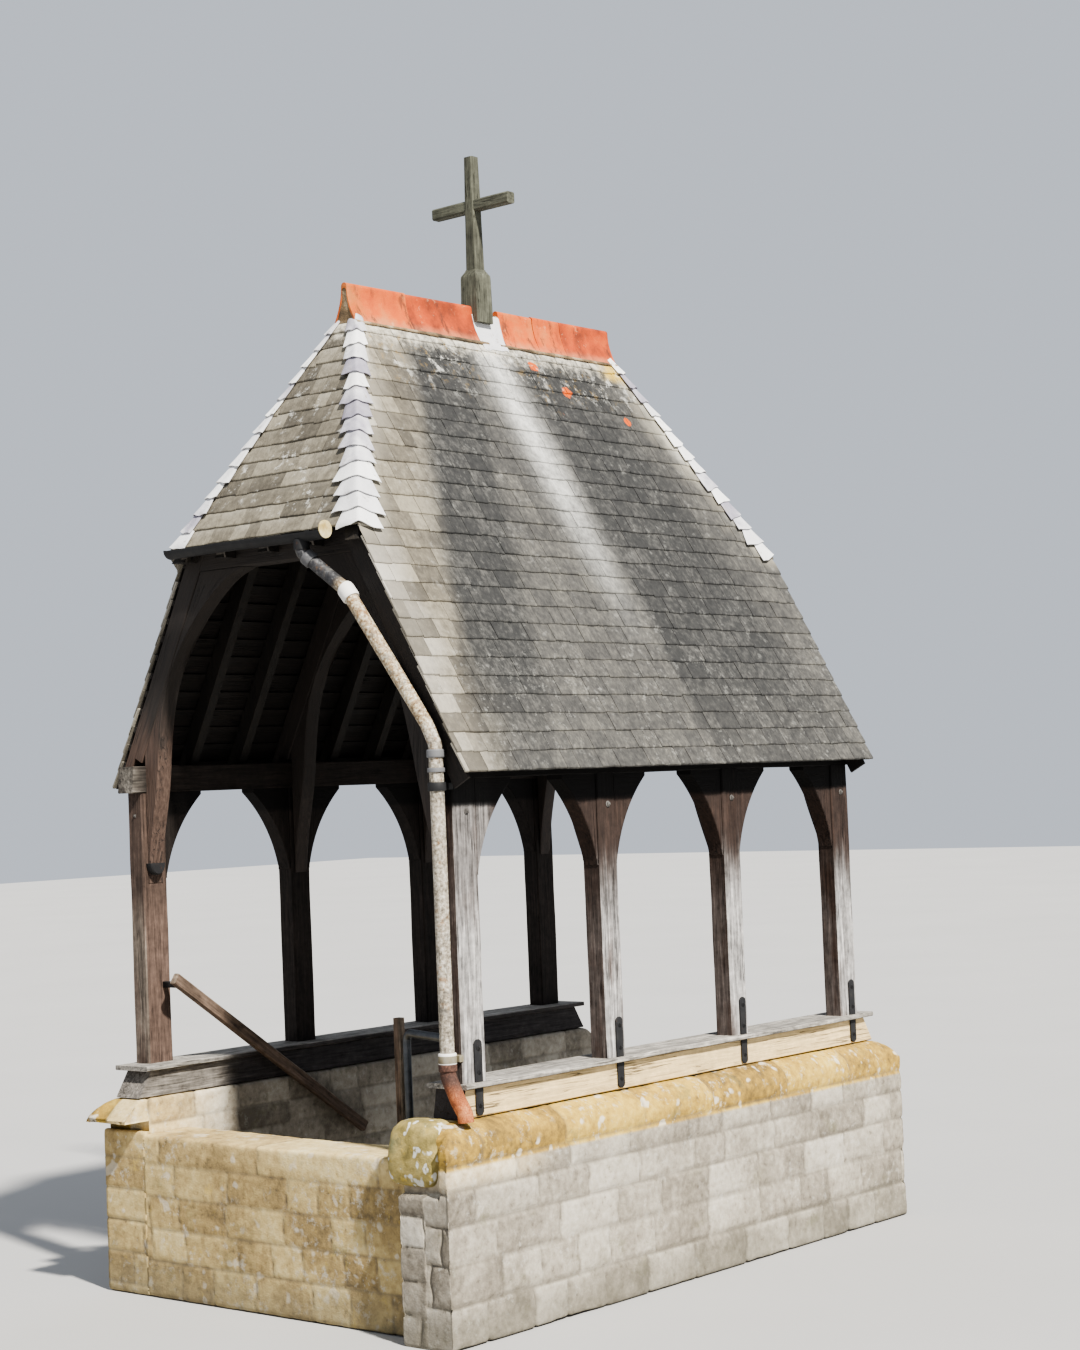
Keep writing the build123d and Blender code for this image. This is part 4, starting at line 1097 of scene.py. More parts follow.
def masonry_wall(seed, sign, undercut):
    """Closed wall with its joints pressed in, mirrored for the left side."""
    grid = wall_grid(undercut)
    x, y, z = grid[..., 0], grid[..., 1], grid[..., 2]
    outside = x > 1.16
    at_end = np.zeros(x.shape, bool)
    at_end[:end_rings] = at_end[-end_rings:] = True
    run = np.where(at_end, x - 1.3 + np.sign(y) * 0.31, y)
    outer = stone_pattern(run, z, outer_courses, outer_lengths, seed)
    inner = stone_pattern(run, z, inner_courses, inner_lengths, seed + 40)
    number, bed, upright = (np.where(outside, a, b) for a, b in zip(outer, inner))
    gap = np.minimum(bed, upright) + 0.0035 * wave_noise(grid, 11.0, seed)
    joint = np.clip(1.0 - gap / 0.011, 0, 1)
    groove = np.where(outside, 0.0085, 0.0065) * joint ** 1.5
    pillow = np.where(outside, 0.006, 0.0035) * (1 - np.clip(gap / 0.06, 0, 1)) ** 2
    rough = 0.003 * wave_noise(grid, 16.0, seed + 5) + 0.0016 * wave_noise(grid, 44.0, seed + 6) \
        + np.where(outside, 0.006, 0.002) * wave_noise(grid * [0.5, 1, 1], 4.3, seed + 7)
    push = -(groove + pillow) + np.minimum(rough, 0.0) - np.where(outside, 0.004, 0.001) * number
    push = np.where(z < 0.004, np.minimum(push, 0), push)
    normal = unit(np.cross(np.gradient(grid, axis=0),
                           np.roll(grid, -1, 1) - np.roll(grid, 1, 1)))
    away = (grid - np.array([wall_middle, 0, 0.5])) * normal * np.array([1, 0, 1])
    side_of = np.sign(away.sum(-1, keepdims=True))
    normal = normal * np.where(side_of == 0, 1, side_of)
    normal[:end_rings], normal[-end_rings:] = -Y, Y
    grid = grid + normal * push[..., None]
    grid[..., 2] = np.maximum(grid[..., 2], 0.0)
    behind = (grid[..., 0] < 1.262) & (grid[..., 2] > ground - 0.15) & (sign > 0)
    grid[..., 1] = np.where(behind, np.maximum(grid[..., 1], -wall_end + 0.045), grid[..., 1])
    grid[..., 1] = np.clip(grid[..., 1], -wall_end, wall_end)
    faces = closed_tube(*grid.shape[:2])
    plinth = np.where(outside, 1.0, 0.5 * np.clip((-1.4 - y) / 0.3, 0, 1)) \
        * (z > outer_courses[5] - 0.01)
    values = {"stone": number.ravel(), "joint": joint.ravel(), "plinth": plinth.ravel()}
    points = (grid * [sign, 1.0, 1.0]).reshape(-1, 3)
    return points, turned_over(faces) if sign > 0 else faces, values


wall_middle = (wall_inner + wall_outer) / 2
for seed, (name, sign, undercut) in enumerate((("right_wall", 1, False), ("left_wall", -1, True)),
                                              21):
    part = masonry_wall(seed, sign, undercut)
    make_piece(name + "_stones", [part], [name])
    print(name, len(part[0]), "points")

# %% [markdown]
# ## Kerb and steps
# The kerb and the steps are worn slabs. Each is a rounded outline in y and z carried from wall
# to wall; the middle of the edge that feet have used most sinks a few millimetres.

# %% Kerb and steps
def worn_slab(y0, y1, top, reach, seed, spacing=0.014):
    """Slab from wall to wall with a worn nosing and joints between its stones."""
    y, z = soft_section([(y0, 0.0), (y1, 0.0), (y1, top), (y0, top)], spacing).T
    x = np.linspace(-reach, reach, int(2 * reach / spacing))[:, None]
    grid = spread(x, y, z)
    x, y, z = grid[..., 0], grid[..., 1], grid[..., 2]
    beds = [top - 0.15 - 0.17 * k for k in range(6) if top - 0.15 - 0.17 * k > 0.05]
    beds = np.array([-0.02] + beds[::-1] + [top + 0.02])
    lengths = [(0.22, 0.45)] * (len(beds) - 2) + [(0.5, 0.9)]
    number, bed, upright = stone_pattern(x, z, beds, lengths, seed)
    joint = np.clip(1 - np.minimum(bed, upright) / 0.01, 0, 1)
    tread = np.clip((z - (top - 0.03)) / 0.03, 0, 1)
    worn = 0.007 * np.exp(-(x / 0.45) ** 2) * tread
    rough = 0.0022 * wave_noise(grid, 13.0, seed) + 0.001 * wave_noise(grid, 40.0, seed + 1)
    out = spread(0 * y, (y - (y0 + y1) / 2) / ((y1 - y0) / 2), (z - top / 2) / (top / 2)) ** 5
    out /= np.maximum(np.linalg.norm(out, axis=-1, keepdims=True), 1e-6)
    grid = grid + out * (rough - 0.0032 - 0.006 * joint ** 1.5)[..., None]
    grid[..., 2] = np.maximum(grid[..., 2] - worn, 0.0)
    values = {"stone": number.ravel(), "joint": joint.ravel(),
              "plinth": 0.6 if top > ground - 0.001 else 0.0}
    return grid.reshape(-1, 3), closed_tube(*grid.shape[:2]), values


riser, going = ground / 5.0, 0.247
kerb_near, kerb_far = -1.88, -1.53
points, faces, values = worn_slab(kerb_near, -1.83, ground + 0.022, 0.165, 4)
parts = [worn_slab(kerb_near, kerb_far, ground, 1.0, 3),
         (points + np.array([-1.155, 0, 0]), faces, values)]
make_piece("kerb_slab", parts, ["kerb_stone"])
for index in range(1, 5):
    back = kerb_far + (5 - index - 1) * going
    part = worn_slab(back, back + going, riser * index, 1.0, 60 + index)
    make_piece(f"step_slab_{index}", [part], [f"step_{index}"])
print("kerb and steps:", 1 + index)

# %% [markdown]
# ## Corner stone
# A boulder closes the near end of the right wall. Its directions are those of a globe, each
# stretched until it meets a rounded box, narrowed towards the top, pushed in and out by noise
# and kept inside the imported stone's size.

# %% Corner stone
boulder_half = np.array([0.18, 0.124, 0.165])
boulder_limit = np.array([0.18, 0.1245, 0.165])
boulder_place = np.array([1.066, -1.8755, ground + 0.208 - 0.165])
around, levels = 120, 73
turn, tilt = np.meshgrid(full_turn(around), np.linspace(-math.pi / 2, math.pi / 2,
                                                        levels + 2)[1:-1])
way = spread(np.cos(tilt) * np.cos(turn), np.cos(tilt) * np.sin(turn), np.sin(tilt))
boulder = way / (np.abs(way) ** 5.0).sum(-1, keepdims=True) ** (1 / 5.0)
boulder[..., :2] *= 1 - 0.16 * np.clip(boulder[..., 2:] + 0.25, 0, 1.25) ** 1.5
push = 1 + 0.04 * wave_noise(boulder, 1.1, 4) + 0.02 * wave_noise(boulder, 3.1, 8) \
    + 0.01 * wave_noise(boulder, 8.0, 2) + 0.005 * wave_noise(boulder, 21.0, 6) - 0.055
boulder = np.clip(boulder * push[..., None] * boulder_half, -boulder_limit, boulder_limit)
boulder = boulder + boulder_place
poles = np.array([boulder[0].mean(0), boulder[-1].mean(0)])
count, ring = levels * around, np.arange(around)
ring_next = np.roll(ring, -1)
fan_low = np.stack([0 * ring + count, ring_next, ring], 1)
fan_high = np.stack([0 * ring + count + 1, ring + count - around, ring_next + count - around], 1)
part = (np.concatenate([boulder.reshape(-1, 3), poles]),
        [grid_faces(levels, around, close_cols=True), fan_low, fan_high],
        {"stone": 0.35, "joint": 0.0, "plinth": 1.0})
make_piece("corner_boulder", [part], ["corner_stone"])
print("corner stone:", len(part[0]), "points")

# %% [markdown]
# ## Ironwork and bolts
# Black straps tie each post down over the sole beam. A strap is a flat bar with rounded ends
# and bolts. The bolts are small turned profiles: one template, placed many times. A small cup
# hangs on the near left post.

# %% Straps and bolts
def turned_part(place, axis, profile, sides, tone, start=0.0):
    """Profile of (distance, radius) turned round an axis at a place; four sides give a nut."""
    distance, radius = np.asarray(profile, float).T[..., None, None]
    first = unit(np.cross(Z if abs(axis[2]) < 0.9 else X, axis))
    second = np.cross(axis, first)
    turn = (full_turn(sides) + start)[:, None]
    ring = first * np.cos(turn) + second * np.sin(turn)
    points = np.asarray(place, float) + axis * distance + ring * radius
    return toned(points, closed_tube(len(profile), sides), tone)


def bolt_parts(place, axis, s, tone=0.4):
    """Round washer, square nut and a stub of the bolt; s is the washer's radius."""
    return [turned_part(place, axis, [(0, s), (0.002, s), (0.003, s * 0.94)], 18, tone),
            turned_part(place, axis, [(0.002, s * 0.74), (s * 0.55, s * 0.74),
                                      (s * 0.62, s * 0.66)], 4, tone, math.pi / 4),
            turned_part(place, axis, [(0.002, s * 0.3), (s * 0.9, s * 0.3),
                                      (s * 0.96, s * 0.22)], 10, tone)]


def strap_part(y, sign, seed):
    """Flat bar on the post's outer face: half-width narrows to a round at both ends."""
    low, high, half = ground + 0.195, ground + 0.56, 0.0275
    quarter = np.linspace(0, math.pi / 2, 6)
    z = np.concatenate([low + 0.018 * (1 - np.cos(quarter)),
                        np.linspace(low + 0.03, high - 0.03, 8),
                        high - 0.018 * (1 - np.cos(quarter[::-1]))])
    z = np.unique(np.round(z, 5))
    edge = np.clip(np.minimum(z - low, high - z) / 0.02, 0, 1)
    w = half * np.sqrt(np.clip(1 - (1 - edge) ** 2, 0.12, 1))
    x = sign * (half_width + 0.0047)
    bar = beam_part(spread(x, y - w, z), spread(x, y + w, z), X, 0.0085, 0.0016, 0.0006, seed,
                    per_face=4)
    return with_tone(bar, 0.3)


strap_shift = 0.02
for name, sign in (("right_straps", 1), ("left_straps", -1)):
    parts = []
    for i, y in enumerate(post_y):
        parts.append(strap_part(y + strap_shift, sign, 80 + i))
        for z in (0.245, 0.405, 0.52):
            place = (sign * (half_width + 0.0085), y + strap_shift, ground + z)
            parts += bolt_parts(place, sign * X, 0.0135)
    make_piece(name + "_iron", parts, [name], sharp=35)

parts = []
for sign in (1, -1):
    for y in post_y:
        place = (sign * (half_width - 0.002), y + 0.012, ground + 1.665)
        parts += bolt_parts(place, sign * X, 0.0165, 0.7)
for sign in (1, -1):
    parts += bolt_parts((sign * 1.15, -1.7255, ground + 1.7), -Y, 0.0165, 0.7)
cup_size, cup_x = np.array([(0.96, -1.094), (1.0, -1.088), (1.0, -1.052), (0.9, -1.045)]).T
cup = spread(cup_x[:, None], 0.05 * np.cos(lower_half) * cup_size[:, None] - 1.665,
             0.064 * np.sin(lower_half) * cup_size[:, None] + ground + 1.438)
parts.append(toned(cup, turned_over(closed_tube(*cup.shape[:2])), 0.3))
make_piece("post_bolts", parts, sharp=35)
print("bolts and cup:", len(parts), "parts")

# %% [markdown]
# ## Pipe clips
# Two clips hold the upright pipe to the post: a ring round the pipe with an ear behind it. The
# ring is a profile turned right round, so its grid closes in both directions.

# %% Pipe clips
clip_z, clip_radius = np.array([(-0.021, 0.0366), (-0.021, 0.0435), (-0.016, 0.0455),
                                (0.016, 0.0455), (0.021, 0.0435),
                                (0.021, 0.0366)]).T[..., None]
parts = []
for level, tone in ((1.79, 0.2), (0.48, 0.85)):
    centre, turn = np.array([pipe_x, pipe_y, ground + level]), full_turn(28)
    ring = centre + spread(np.cos(turn) * clip_radius, np.sin(turn) * clip_radius, clip_z)
    parts.append(toned(ring, [grid_faces(6, 28, close_cols=True, close_rows=True)], tone))
    ear = straight_beam(centre + np.array([-0.06, 0.05, 0]),
                        centre + np.array([0.0455, 0.05, 0]), Z, 0.034, Y, 0.03,
                        chamfer=0.003, wobble=0.0006, seed=3.0)
    parts.append(with_tone(ear, tone))
make_piece("pipe_clip_rings", parts, ["pipe_clips"], sharp=35)
print("clip parts:", len(parts))

# %% [markdown]
# ## Handrail, newel and tube
# A plain timber handrail falls with the steps on the left. A slender newel stands on the other
# side with a galvanised tube from it to the corner post.

# %% Handrail, newel and tube
rail_x, bracket_x = -1.0 + 0.026 + 0.022, -1.0 + 0.026
rail_a = np.array([rail_x, -1.66, ground + 0.812])
rail_b = np.array([rail_x, -0.25, ground - 0.17])
rail_up = unit(np.cross(X, rail_b - rail_a))
rail_up = rail_up * np.sign(rail_up[2])
rail = straight_beam(rail_a, rail_b, rail_up, 0.065, X, 0.043, chamfer=0.006, wobble=0.0012,
                     seed=91.0)
make_timber("oak_handrail", [rail], "handrail")
newel_x, newel_y, newel_wide = 0.475, kerb_far + going / 2, 0.0455
newel_low = ground - riser - 0.002
newel = straight_beam((newel_x, newel_y, newel_low), (newel_x, newel_y, ground + 0.619), X,
                      newel_wide, Y, newel_wide, chamfer=0.005, wobble=0.0008, seed=92.0)
make_timber("oak_newel", [newel], "newel_post")
tube_x, tube_z = 0.526, ground + 0.545
tube_line = rounded_line([(tube_x, newel_y, newel_low), (tube_x, newel_y, tube_z),
                          (post_inner + 0.004, -1.606, tube_z)], 0.06, 10, 0.03)
make_piece("zinc_tube", [tube_along(tube_line, 0.0215, 20)], ["tube_rail"])
parts = []
for y, inner in ((-1.61, post_inner), (-0.7, 1.0), (-0.38, 1.0)):
    z = rail_a[2] + (rail_b[2] - rail_a[2]) * (y - rail_a[1]) / (rail_b[1] - rail_a[1]) - 0.004
    bracket = straight_beam((-inner, y, z), (bracket_x, y, z), Z, 0.034, Y, 0.03, chamfer=0.003,
                            wobble=0.0005, seed=5.0)
    parts.append(with_tone(bracket, 0.3))
make_piece("rail_bracket_iron", parts, ["handrail_brackets"])
print("handrail brackets:", len(parts))

# %% [markdown]
# # Materials
# Every material is made from noise and from the values stored above, in metres, so it keeps its
# scale on any piece. A node's output is wrapped as a value, and sums and products of values add
# Math nodes, so a material reads like a formula.

# %% Helpers for nodes
class Value:
    """Output of a node; adding, subtracting, multiplying or dividing it adds a Math node."""

    def __init__(self, socket):
        self.socket, self.tree = socket, socket.id_data

    def __add__(self, other):
        return maths("ADD", self, other)

    def __sub__(self, other):
        return maths("SUBTRACT", self, other)

    def __rsub__(self, other):
        return maths("SUBTRACT", other, self)

    def __mul__(self, other):
        return maths("MULTIPLY", self, other)

    def __truediv__(self, other):
        return maths("DIVIDE", self, other)

    def __abs__(self):
        return maths("ABSOLUTE", self)

    __radd__, __rmul__ = __add__, __mul__


def fill(socket, value):
    """Links a value to an input, or writes a plain one; a plain colour gets its alpha."""
    if isinstance(value, Value):
        value.tree.links.new(value.socket, socket)
    else:
        socket.default_value = (*value, 1.0) if socket.type == "RGBA" else value


def add(tree, kind, sockets=None, **settings):
    """New node with its settings, and each input linked or given a plain value."""
    node = tree.nodes.new(kind)
    for key, value in settings.items():
        setattr(node, key, value)
    for key, value in (sockets or {}).items():
        fill(node.inputs[key], value)
    return node


def maths(operation, a, b=0.0):
    """Result of a Math node; one of a and b may be a plain number."""
    tree = (a if isinstance(a, Value) else b).tree
    return Value(add(tree, "ShaderNodeMath", {0: a, 1: b}, operation=operation).outputs[0])


def highest(*values):
    """The largest of several values."""
    top = values[0]
    for value in values[1:]:
        top = maths("MAXIMUM", top, value)
    return top


def noise(place, scale, detail=4.0, rough=0.55, distortion=0.0):
    """Fractal noise from 0 to 1 at a place."""
    sockets = {"Vector": place, "Scale": scale, "Detail": detail, "Roughness": rough,
               "Distortion": distortion}
    return Value(add(place.tree, "ShaderNodeTexNoise", sockets).outputs["Fac"])


def ramp(value, *stops):
    """Colour ramp; each stop is a position, red, green and blue."""
    node = add(value.tree, "ShaderNodeValToRGB", {"Fac": value})
    elements = node.color_ramp.elements
    while len(elements) < len(stops):
        elements.new(0.5)
    for element, (position, *colour) in zip(elements, stops):
        element.position = position
        element.color = (*colour, 1.0)
    return Value(node.outputs["Color"])


def step_up(value, low, high):
    """0 below low, 1 above high, smooth between; low may be the larger, which turns it over."""
    sockets = {"Value": value, "From Min": low, "From Max": high}
    node = add(value.tree, "ShaderNodeMapRange", sockets, interpolation_type="SMOOTHSTEP")
    return Value(node.outputs["Result"])


def blend(share, a, b):
    """Colour between a and b; the Mix node keeps its colours in inputs 6 and 7."""
    node = add(share.tree, "ShaderNodeMix", {"Factor": share}, data_type="RGBA")
    fill(node.inputs[6], a)
    fill(node.inputs[7], b)
    return Value(node.outputs[2])


def coated(colour, *coats):
    """Colour under several coats, each a share and the coat's own colour."""
    for share, coat in coats:
        colour = blend(share, colour, coat)
    return colour


def attribute(tree, name, output="Fac"):
    """Value that the mesh carries at each point."""
    node = add(tree, "ShaderNodeAttribute", attribute_name=name, attribute_type="GEOMETRY")
    return Value(node.outputs[output])


def vector_maths(operation, vector, other, output=0, key=1):
    """Result of a Vector Math node."""
    node = add(vector.tree, "ShaderNodeVectorMath", {0: vector, key: other}, operation=operation)
    return Value(node.outputs[output])


def stretched(vector, scale):
    """Vector scaled along each axis, so that a noise is drawn out."""
    return vector_maths("MULTIPLY", vector, scale)


def frame_place(tree):
    """Place in the shared frame, in metres: every piece sits at the origin."""
    return Value(add(tree, "ShaderNodeTexCoord").outputs["Object"])


def split(vector):
    """X, Y and Z of a vector."""
    return [Value(out) for out in add(vector.tree, "ShaderNodeSeparateXYZ", {0: vector}).outputs]


def new_material(name, look, bump_size, metallic=0.0, specular=0.5):
    """Material with a Principled shader; look(tree) gives its colour, roughness and height."""
    material = bpy.data.materials.new(name)
    material.use_nodes = True
    tree = material.node_tree
    shader = tree.nodes["Principled BSDF"].inputs
    shader["Metallic"].default_value = metallic
    shader["Specular IOR Level"].default_value = specular
    colour, roughness, *height = look(tree)
    fill(shader["Base Color"], colour)
    fill(shader["Roughness"], roughness)
    if height:
        sockets = {"Height": height[0], "Strength": 1.0, "Distance": bump_size}
        fill(shader["Normal"], Value(add(tree, "ShaderNodeBump", sockets).outputs["Normal"]))
    return material


print("node helpers ready")

# %% [markdown]
# ## Effects that materials share
# Weather leaves the same marks on stone, clay, lead and iron: slow changes of tone, a fine
# tooth, and growth in spots. Sawn oak shows fibres, streaks, pores and drying cracks whatever its
# colour. Each of these is a node group, made once and placed where it is needed.

# %% Node groups
def make_group(name, inputs, outputs, build):
    """Node group: inputs are names with a default number, or None for a vector; build(given)
    returns the outputs in their order."""
    tree = bpy.data.node_groups.new(name, "ShaderNodeTree")
    for title, value in inputs.items():
        kind = "NodeSocketVector" if value is None else "NodeSocketFloat"
        socket = tree.interface.new_socket(title, in_out="INPUT", socket_type=kind)
        if value is not None:
            socket.default_value = value
    for title in outputs:
        tree.interface.new_socket(title, in_out="OUTPUT", socket_type="NodeSocketFloat")
    given = tree.nodes.new("NodeGroupInput").outputs
    taken = tree.nodes.new("NodeGroupOutput").inputs
    for title, value in zip(outputs, build({title: Value(given[title]) for title in inputs})):
        fill(taken[title], value)
    return tree


def placed(group, sockets):
    """Outputs of a group placed in the tree that its first input comes from."""
    tree = next(iter(sockets.values())).tree
    node = tree.nodes.new("ShaderNodeGroup")
    node.node_tree = group
    for key, value in sockets.items():
        fill(node.inputs[key], value)
    return [Value(out) for out in node.outputs]


def scaled(place, scale):
    """Place times a scale that is a value."""
    return vector_maths("SCALE", place, scale, key="Scale")


def tooth(given):
    """Three sizes of noise at one place: slow, fine and gritty."""
    place = scaled(given["Place"], given["Scale"])
    return noise(place, 1.0, 5.0, 0.6), noise(place, 7.0, 6.0, 0.66), noise(place, 32.0, 3.0, 0.5)


def growth(given):
    """Spots where a rough noise is high, kept to patches where a slow one is high too."""
    spots = noise(scaled(given["Place"], given["Scale"]), 1.0, 7.0, 0.72)
    patch = noise(scaled(given["Place"], given["Patch scale"]), 1.0, 2.0)
    low = 1.0 - given["Cover"]
    return [step_up(spots, low, low + given["Softness"]) * step_up(patch, 0.4, 0.6)]


def fibre(given):
    """Noise drawn out along the timber in four widths; cracks follow a level line of a noise."""
    run = given["Grain place"]
    fibres = noise(stretched(run, (7.0, 7.0, 0.45)), 9.0, 8.0, 0.66, 0.3)
    streaks = noise(stretched(run, (3.0, 3.0, 0.22)), 5.0, 5.0, 0.6, 0.5)
    pores = noise(stretched(run, (60.0, 60.0, 2.4)), 6.0, 3.0, 0.5)
    level = noise(stretched(run, (16.0, 16.0, 0.35)), 2.6, 3.0, 0.5, 0.2)
    some = step_up(noise(stretched(run, (1.0, 1.0, 0.5)), 6.0, 2.0), 0.5, 0.62)
    return fibres, streaks, pores, step_up(abs(level - 0.5), 0.016, 0.003) * some


tooth_group = make_group("surface_tooth", {"Place": None, "Scale": 4.0},
                         ("Slow", "Fine", "Grit"), tooth)
growth_group = make_group("lichen_growth", {"Place": None, "Scale": 9.0, "Patch scale": 2.0,
                                            "Cover": 0.4, "Softness": 0.07}, ("Mask",), growth)
fibre_group = make_group("oak_fibre", {"Grain place": None},
                         ("Fibres", "Streaks", "Pores", "Cracks"), fibre)


def surface(place, scale):
    """Slow, fine and gritty noise of a surface."""
    return placed(tooth_group, {"Place": place, "Scale": scale})


def lichen(place, scale, patch, cover, softness=0.07):
    """Mask of growth; cover near 0.35 is sparse and near 0.5 is dense."""
    return placed(growth_group, {"Place": place, "Scale": scale, "Patch scale": patch,
                                 "Cover": cover, "Softness": softness})[0]


print("node groups:", len(bpy.data.node_groups))

# %% [markdown]
# ## Slate
# Each stone slate has its own tone. Rain off the cross has washed a pale streak down the middle
# and left broad bands of dark algae beside it, so those follow the place on the roof. White and
# orange lichen grow in spots, mostly high up and along the edges.

# %% Slate material
chalk, cream_chalk = (0.6, 0.59, 0.54), (0.64, 0.63, 0.58)


def bell(value, centre, width):
    """Bell curve of a value round a centre: e to the power of minus the distance squared."""
    away = (value - centre) / width
    return maths("POWER", 2.718, away * away * -1.0)


def round_spot(place, y, z, size):
    """Ragged round spot on the right slope at one y and height."""
    centre = ((apex_z - z) / slope_rise, y, z)
    away = vector_maths("DISTANCE", place, centre, output="Value")
    return step_up(away + noise(place, 34.0, 4.0) * (size * 0.9), size * 1.35, size * 1.15)


def slate_look(tree):
    """Grey-brown stone, streaked by rain, with lichen."""
    place = frame_place(tree)
    _, y, z = split(place)
    high, tone = z - ground, attribute(tree, "slate_tone")
    slow, fine, grit = surface(place, 3.4)
    wide = noise(place, 1.3, 3.0)
    own_place = attribute(tree, "slate_run", "Vector")
    grain = noise(stretched(own_place, (30.0, 9.0, 9.0)), 3.0, 5.0, 0.6)
    mixed = 0.15 * tone + 0.52 * grain + 0.2 * slow + 0.85 * fine - 0.36
    patchy = 0.5 * tone + 0.3 * grain + 0.7 * fine - 0.25
    along = abs(y)
    hip_line = (verge_y + hip_eave_z / hip_rise) - z * (1.0 / hip_rise)
    on_hip = step_up(along - hip_line, -0.03, -0.005) \
        * step_up(z, hip_eave_z - 0.02, hip_eave_z - 0.01)
    on_side = 1.0 - on_hip
    grey = ramp(mixed, (0.24, 0.026, 0.025, 0.023), (0.42, 0.048, 0.046, 0.042),
                (0.58, 0.078, 0.074, 0.065), (0.78, 0.14, 0.132, 0.112))
    sandy = ramp(patchy, (0.25, 0.075, 0.064, 0.046), (0.5, 0.15, 0.13, 0.094),
                 (0.75, 0.27, 0.24, 0.18))
    sand = step_up(y - 0.33 * high + 0.35 * wide, -1.82, -2.2)
    # Rain marks: two dark bands and a pale one, drawn out down the slope and broken by flecks.
    ribs = noise(stretched(place, (0.45, 8.0, 0.55)), 2.4, 6.0, 0.68)
    flecks = noise(stretched(place, (8.0, 26.0, 8.0)), 2.2, 4.0, 0.7)
    broken = 0.6 * ribs + 0.4 * flecks
    wander = (noise(stretched(place, (0.5, 1.2, 0.8)), 1.4, 3.0) - 0.5) * 0.16
    near_value = y - 0.39 * high + wander + 0.1 * ribs
    near_dark = step_up(near_value, -2.42, -2.26) * step_up(near_value, -1.72, -1.88)
    far_value = y + 0.06 * high + wander + 0.12 * ribs
    far_dark = step_up(far_value, 0.38, 0.5) * step_up(far_value + 0.28 * high, 2.6, 2.16)
    fade = step_up(high, 1.8, 2.5) * 0.58 + 0.42
    dark = highest(near_dark, far_dark) * fade * step_up(broken, 0.18, 0.44) * on_side \
        * step_up(high, 4.36, 4.12)
    algae = ramp(mixed, (0.22, 0.007, 0.007, 0.007), (0.5, 0.022, 0.022, 0.021),
                 (0.8, 0.09, 0.087, 0.08))
    pale = bell(y + 0.075 * high + 0.8 * wander, 0.24, 0.125) * step_up(high, 2.4, 3.8) \
        * step_up(broken, 0.2, 0.46) * on_side
    washed = ramp(mixed, (0.2, 0.18, 0.178, 0.17), (0.5, 0.43, 0.427, 0.405),
                  (0.8, 0.64, 0.635, 0.61))
    specks = lichen(place, 26.0, 2.4, 0.44) * step_up(high, 2.75, 2.2) * on_side
    white = lichen(place, 17.0, 2.6, 0.45, 0.12)
    # Edges: slates beside the hips and at the verge have bleached, each to its own tone.
    bleached = step_up(hip_line - along + 0.42 * slow + 0.16 * tone, 0.56, 0.3) * on_side \
        * step_up(high, 3.0, 3.12)
    beside_hip = ramp(tone, (0.15, 0.23, 0.208, 0.165), (0.4, 0.42, 0.39, 0.31),
                      (0.85, 0.64, 0.615, 0.54))
    top = step_up(high + 0.3 * fine, 4.33, 4.5)
    verge = step_up(0.3 * slow - y, 1.66, 1.9) * on_side * 0.5 \
        * (step_up(high, 2.1, 3.0) * 0.6 + 0.4)
    at_verge = ramp(tone, (0.2, 0.25, 0.23, 0.19), (0.8, 0.56, 0.54, 0.5))
    rusty = highest(round_spot(place, 0.28, ground + 4.21, 0.046),
                    round_spot(place, 0.49, ground + 4.07, 0.048),
                    round_spot(place, 0.96, ground + 3.93, 0.038),
                    lichen(place, 8.0, 3.1, 0.315, 0.03) * step_up(high, 3.7, 4.2))
    gold = step_up(y + 0.25 * fine, 1.02, 1.16) * step_up(high, 4.17, 4.24)
    lofty = step_up(high + 0.6 * wide, 4.1, 4.5) * on_side
    brown_growth = lichen(stretched(place, (1.2, 1.0, 1.0)), 19.0, 6.0, 0.45, 0.08)
    dark_growth = lichen(stretched(place, (1.0, 1.2, 1.0)), 23.0, 5.0, 0.45, 0.08)
    colour = coated(grey, (sand * 0.8, sandy), (dark * 0.92, algae), (pale * 0.9, washed),
                    (specks * 0.45, (0.27, 0.265, 0.24)), (white * (on_hip * 0.55 + 0.15), chalk),
                    (bleached * 0.8, beside_hip), (top * 0.85, (0.62, 0.58, 0.48)),
                    (verge, at_verge), (rusty, (0.5, 0.08, 0.001)),
                    (gold * 0.8, (0.52, 0.34, 0.02)),
                    (lichen(place, 13.0, 4.0, 0.47, 0.1) * lofty * 0.65, cream_chalk),
                    (brown_growth * lofty * 0.55, (0.26, 0.17, 0.05)),
                    (dark_growth * lofty * 0.6, (0.03, 0.027, 0.022)))
    return (colour, 0.22 * fine + 0.06 * tone + 0.68, 0.6 * fine + 0.3 * grit + 0.5 * grain)


new_material("stone_slates", slate_look, 0.004)
print("slate material ready")

# %% [markdown]
# ## Oak
# Old oak is silver where sun and rain reach it, which is the side away from the passage and the
# top, and brown to nearly black elsewhere; on faces turned to the passage that brown is partly
# painted shade. So the colour asks which way a face looks. The eave's shadow on the posts, and
# the shade on the timbers of the passage and the roof, are painted in as darker oak. The grain
# runs along each timber, because its parts carry their own lengthwise coordinate.

# %% Oak materials
def oak_finish(fibres, pores, cracks):
    """Roughness and height of sawn oak."""
    return 0.25 * fibres + 0.66, 0.9 * fibres - 0.25 * pores - 1.5 * cracks


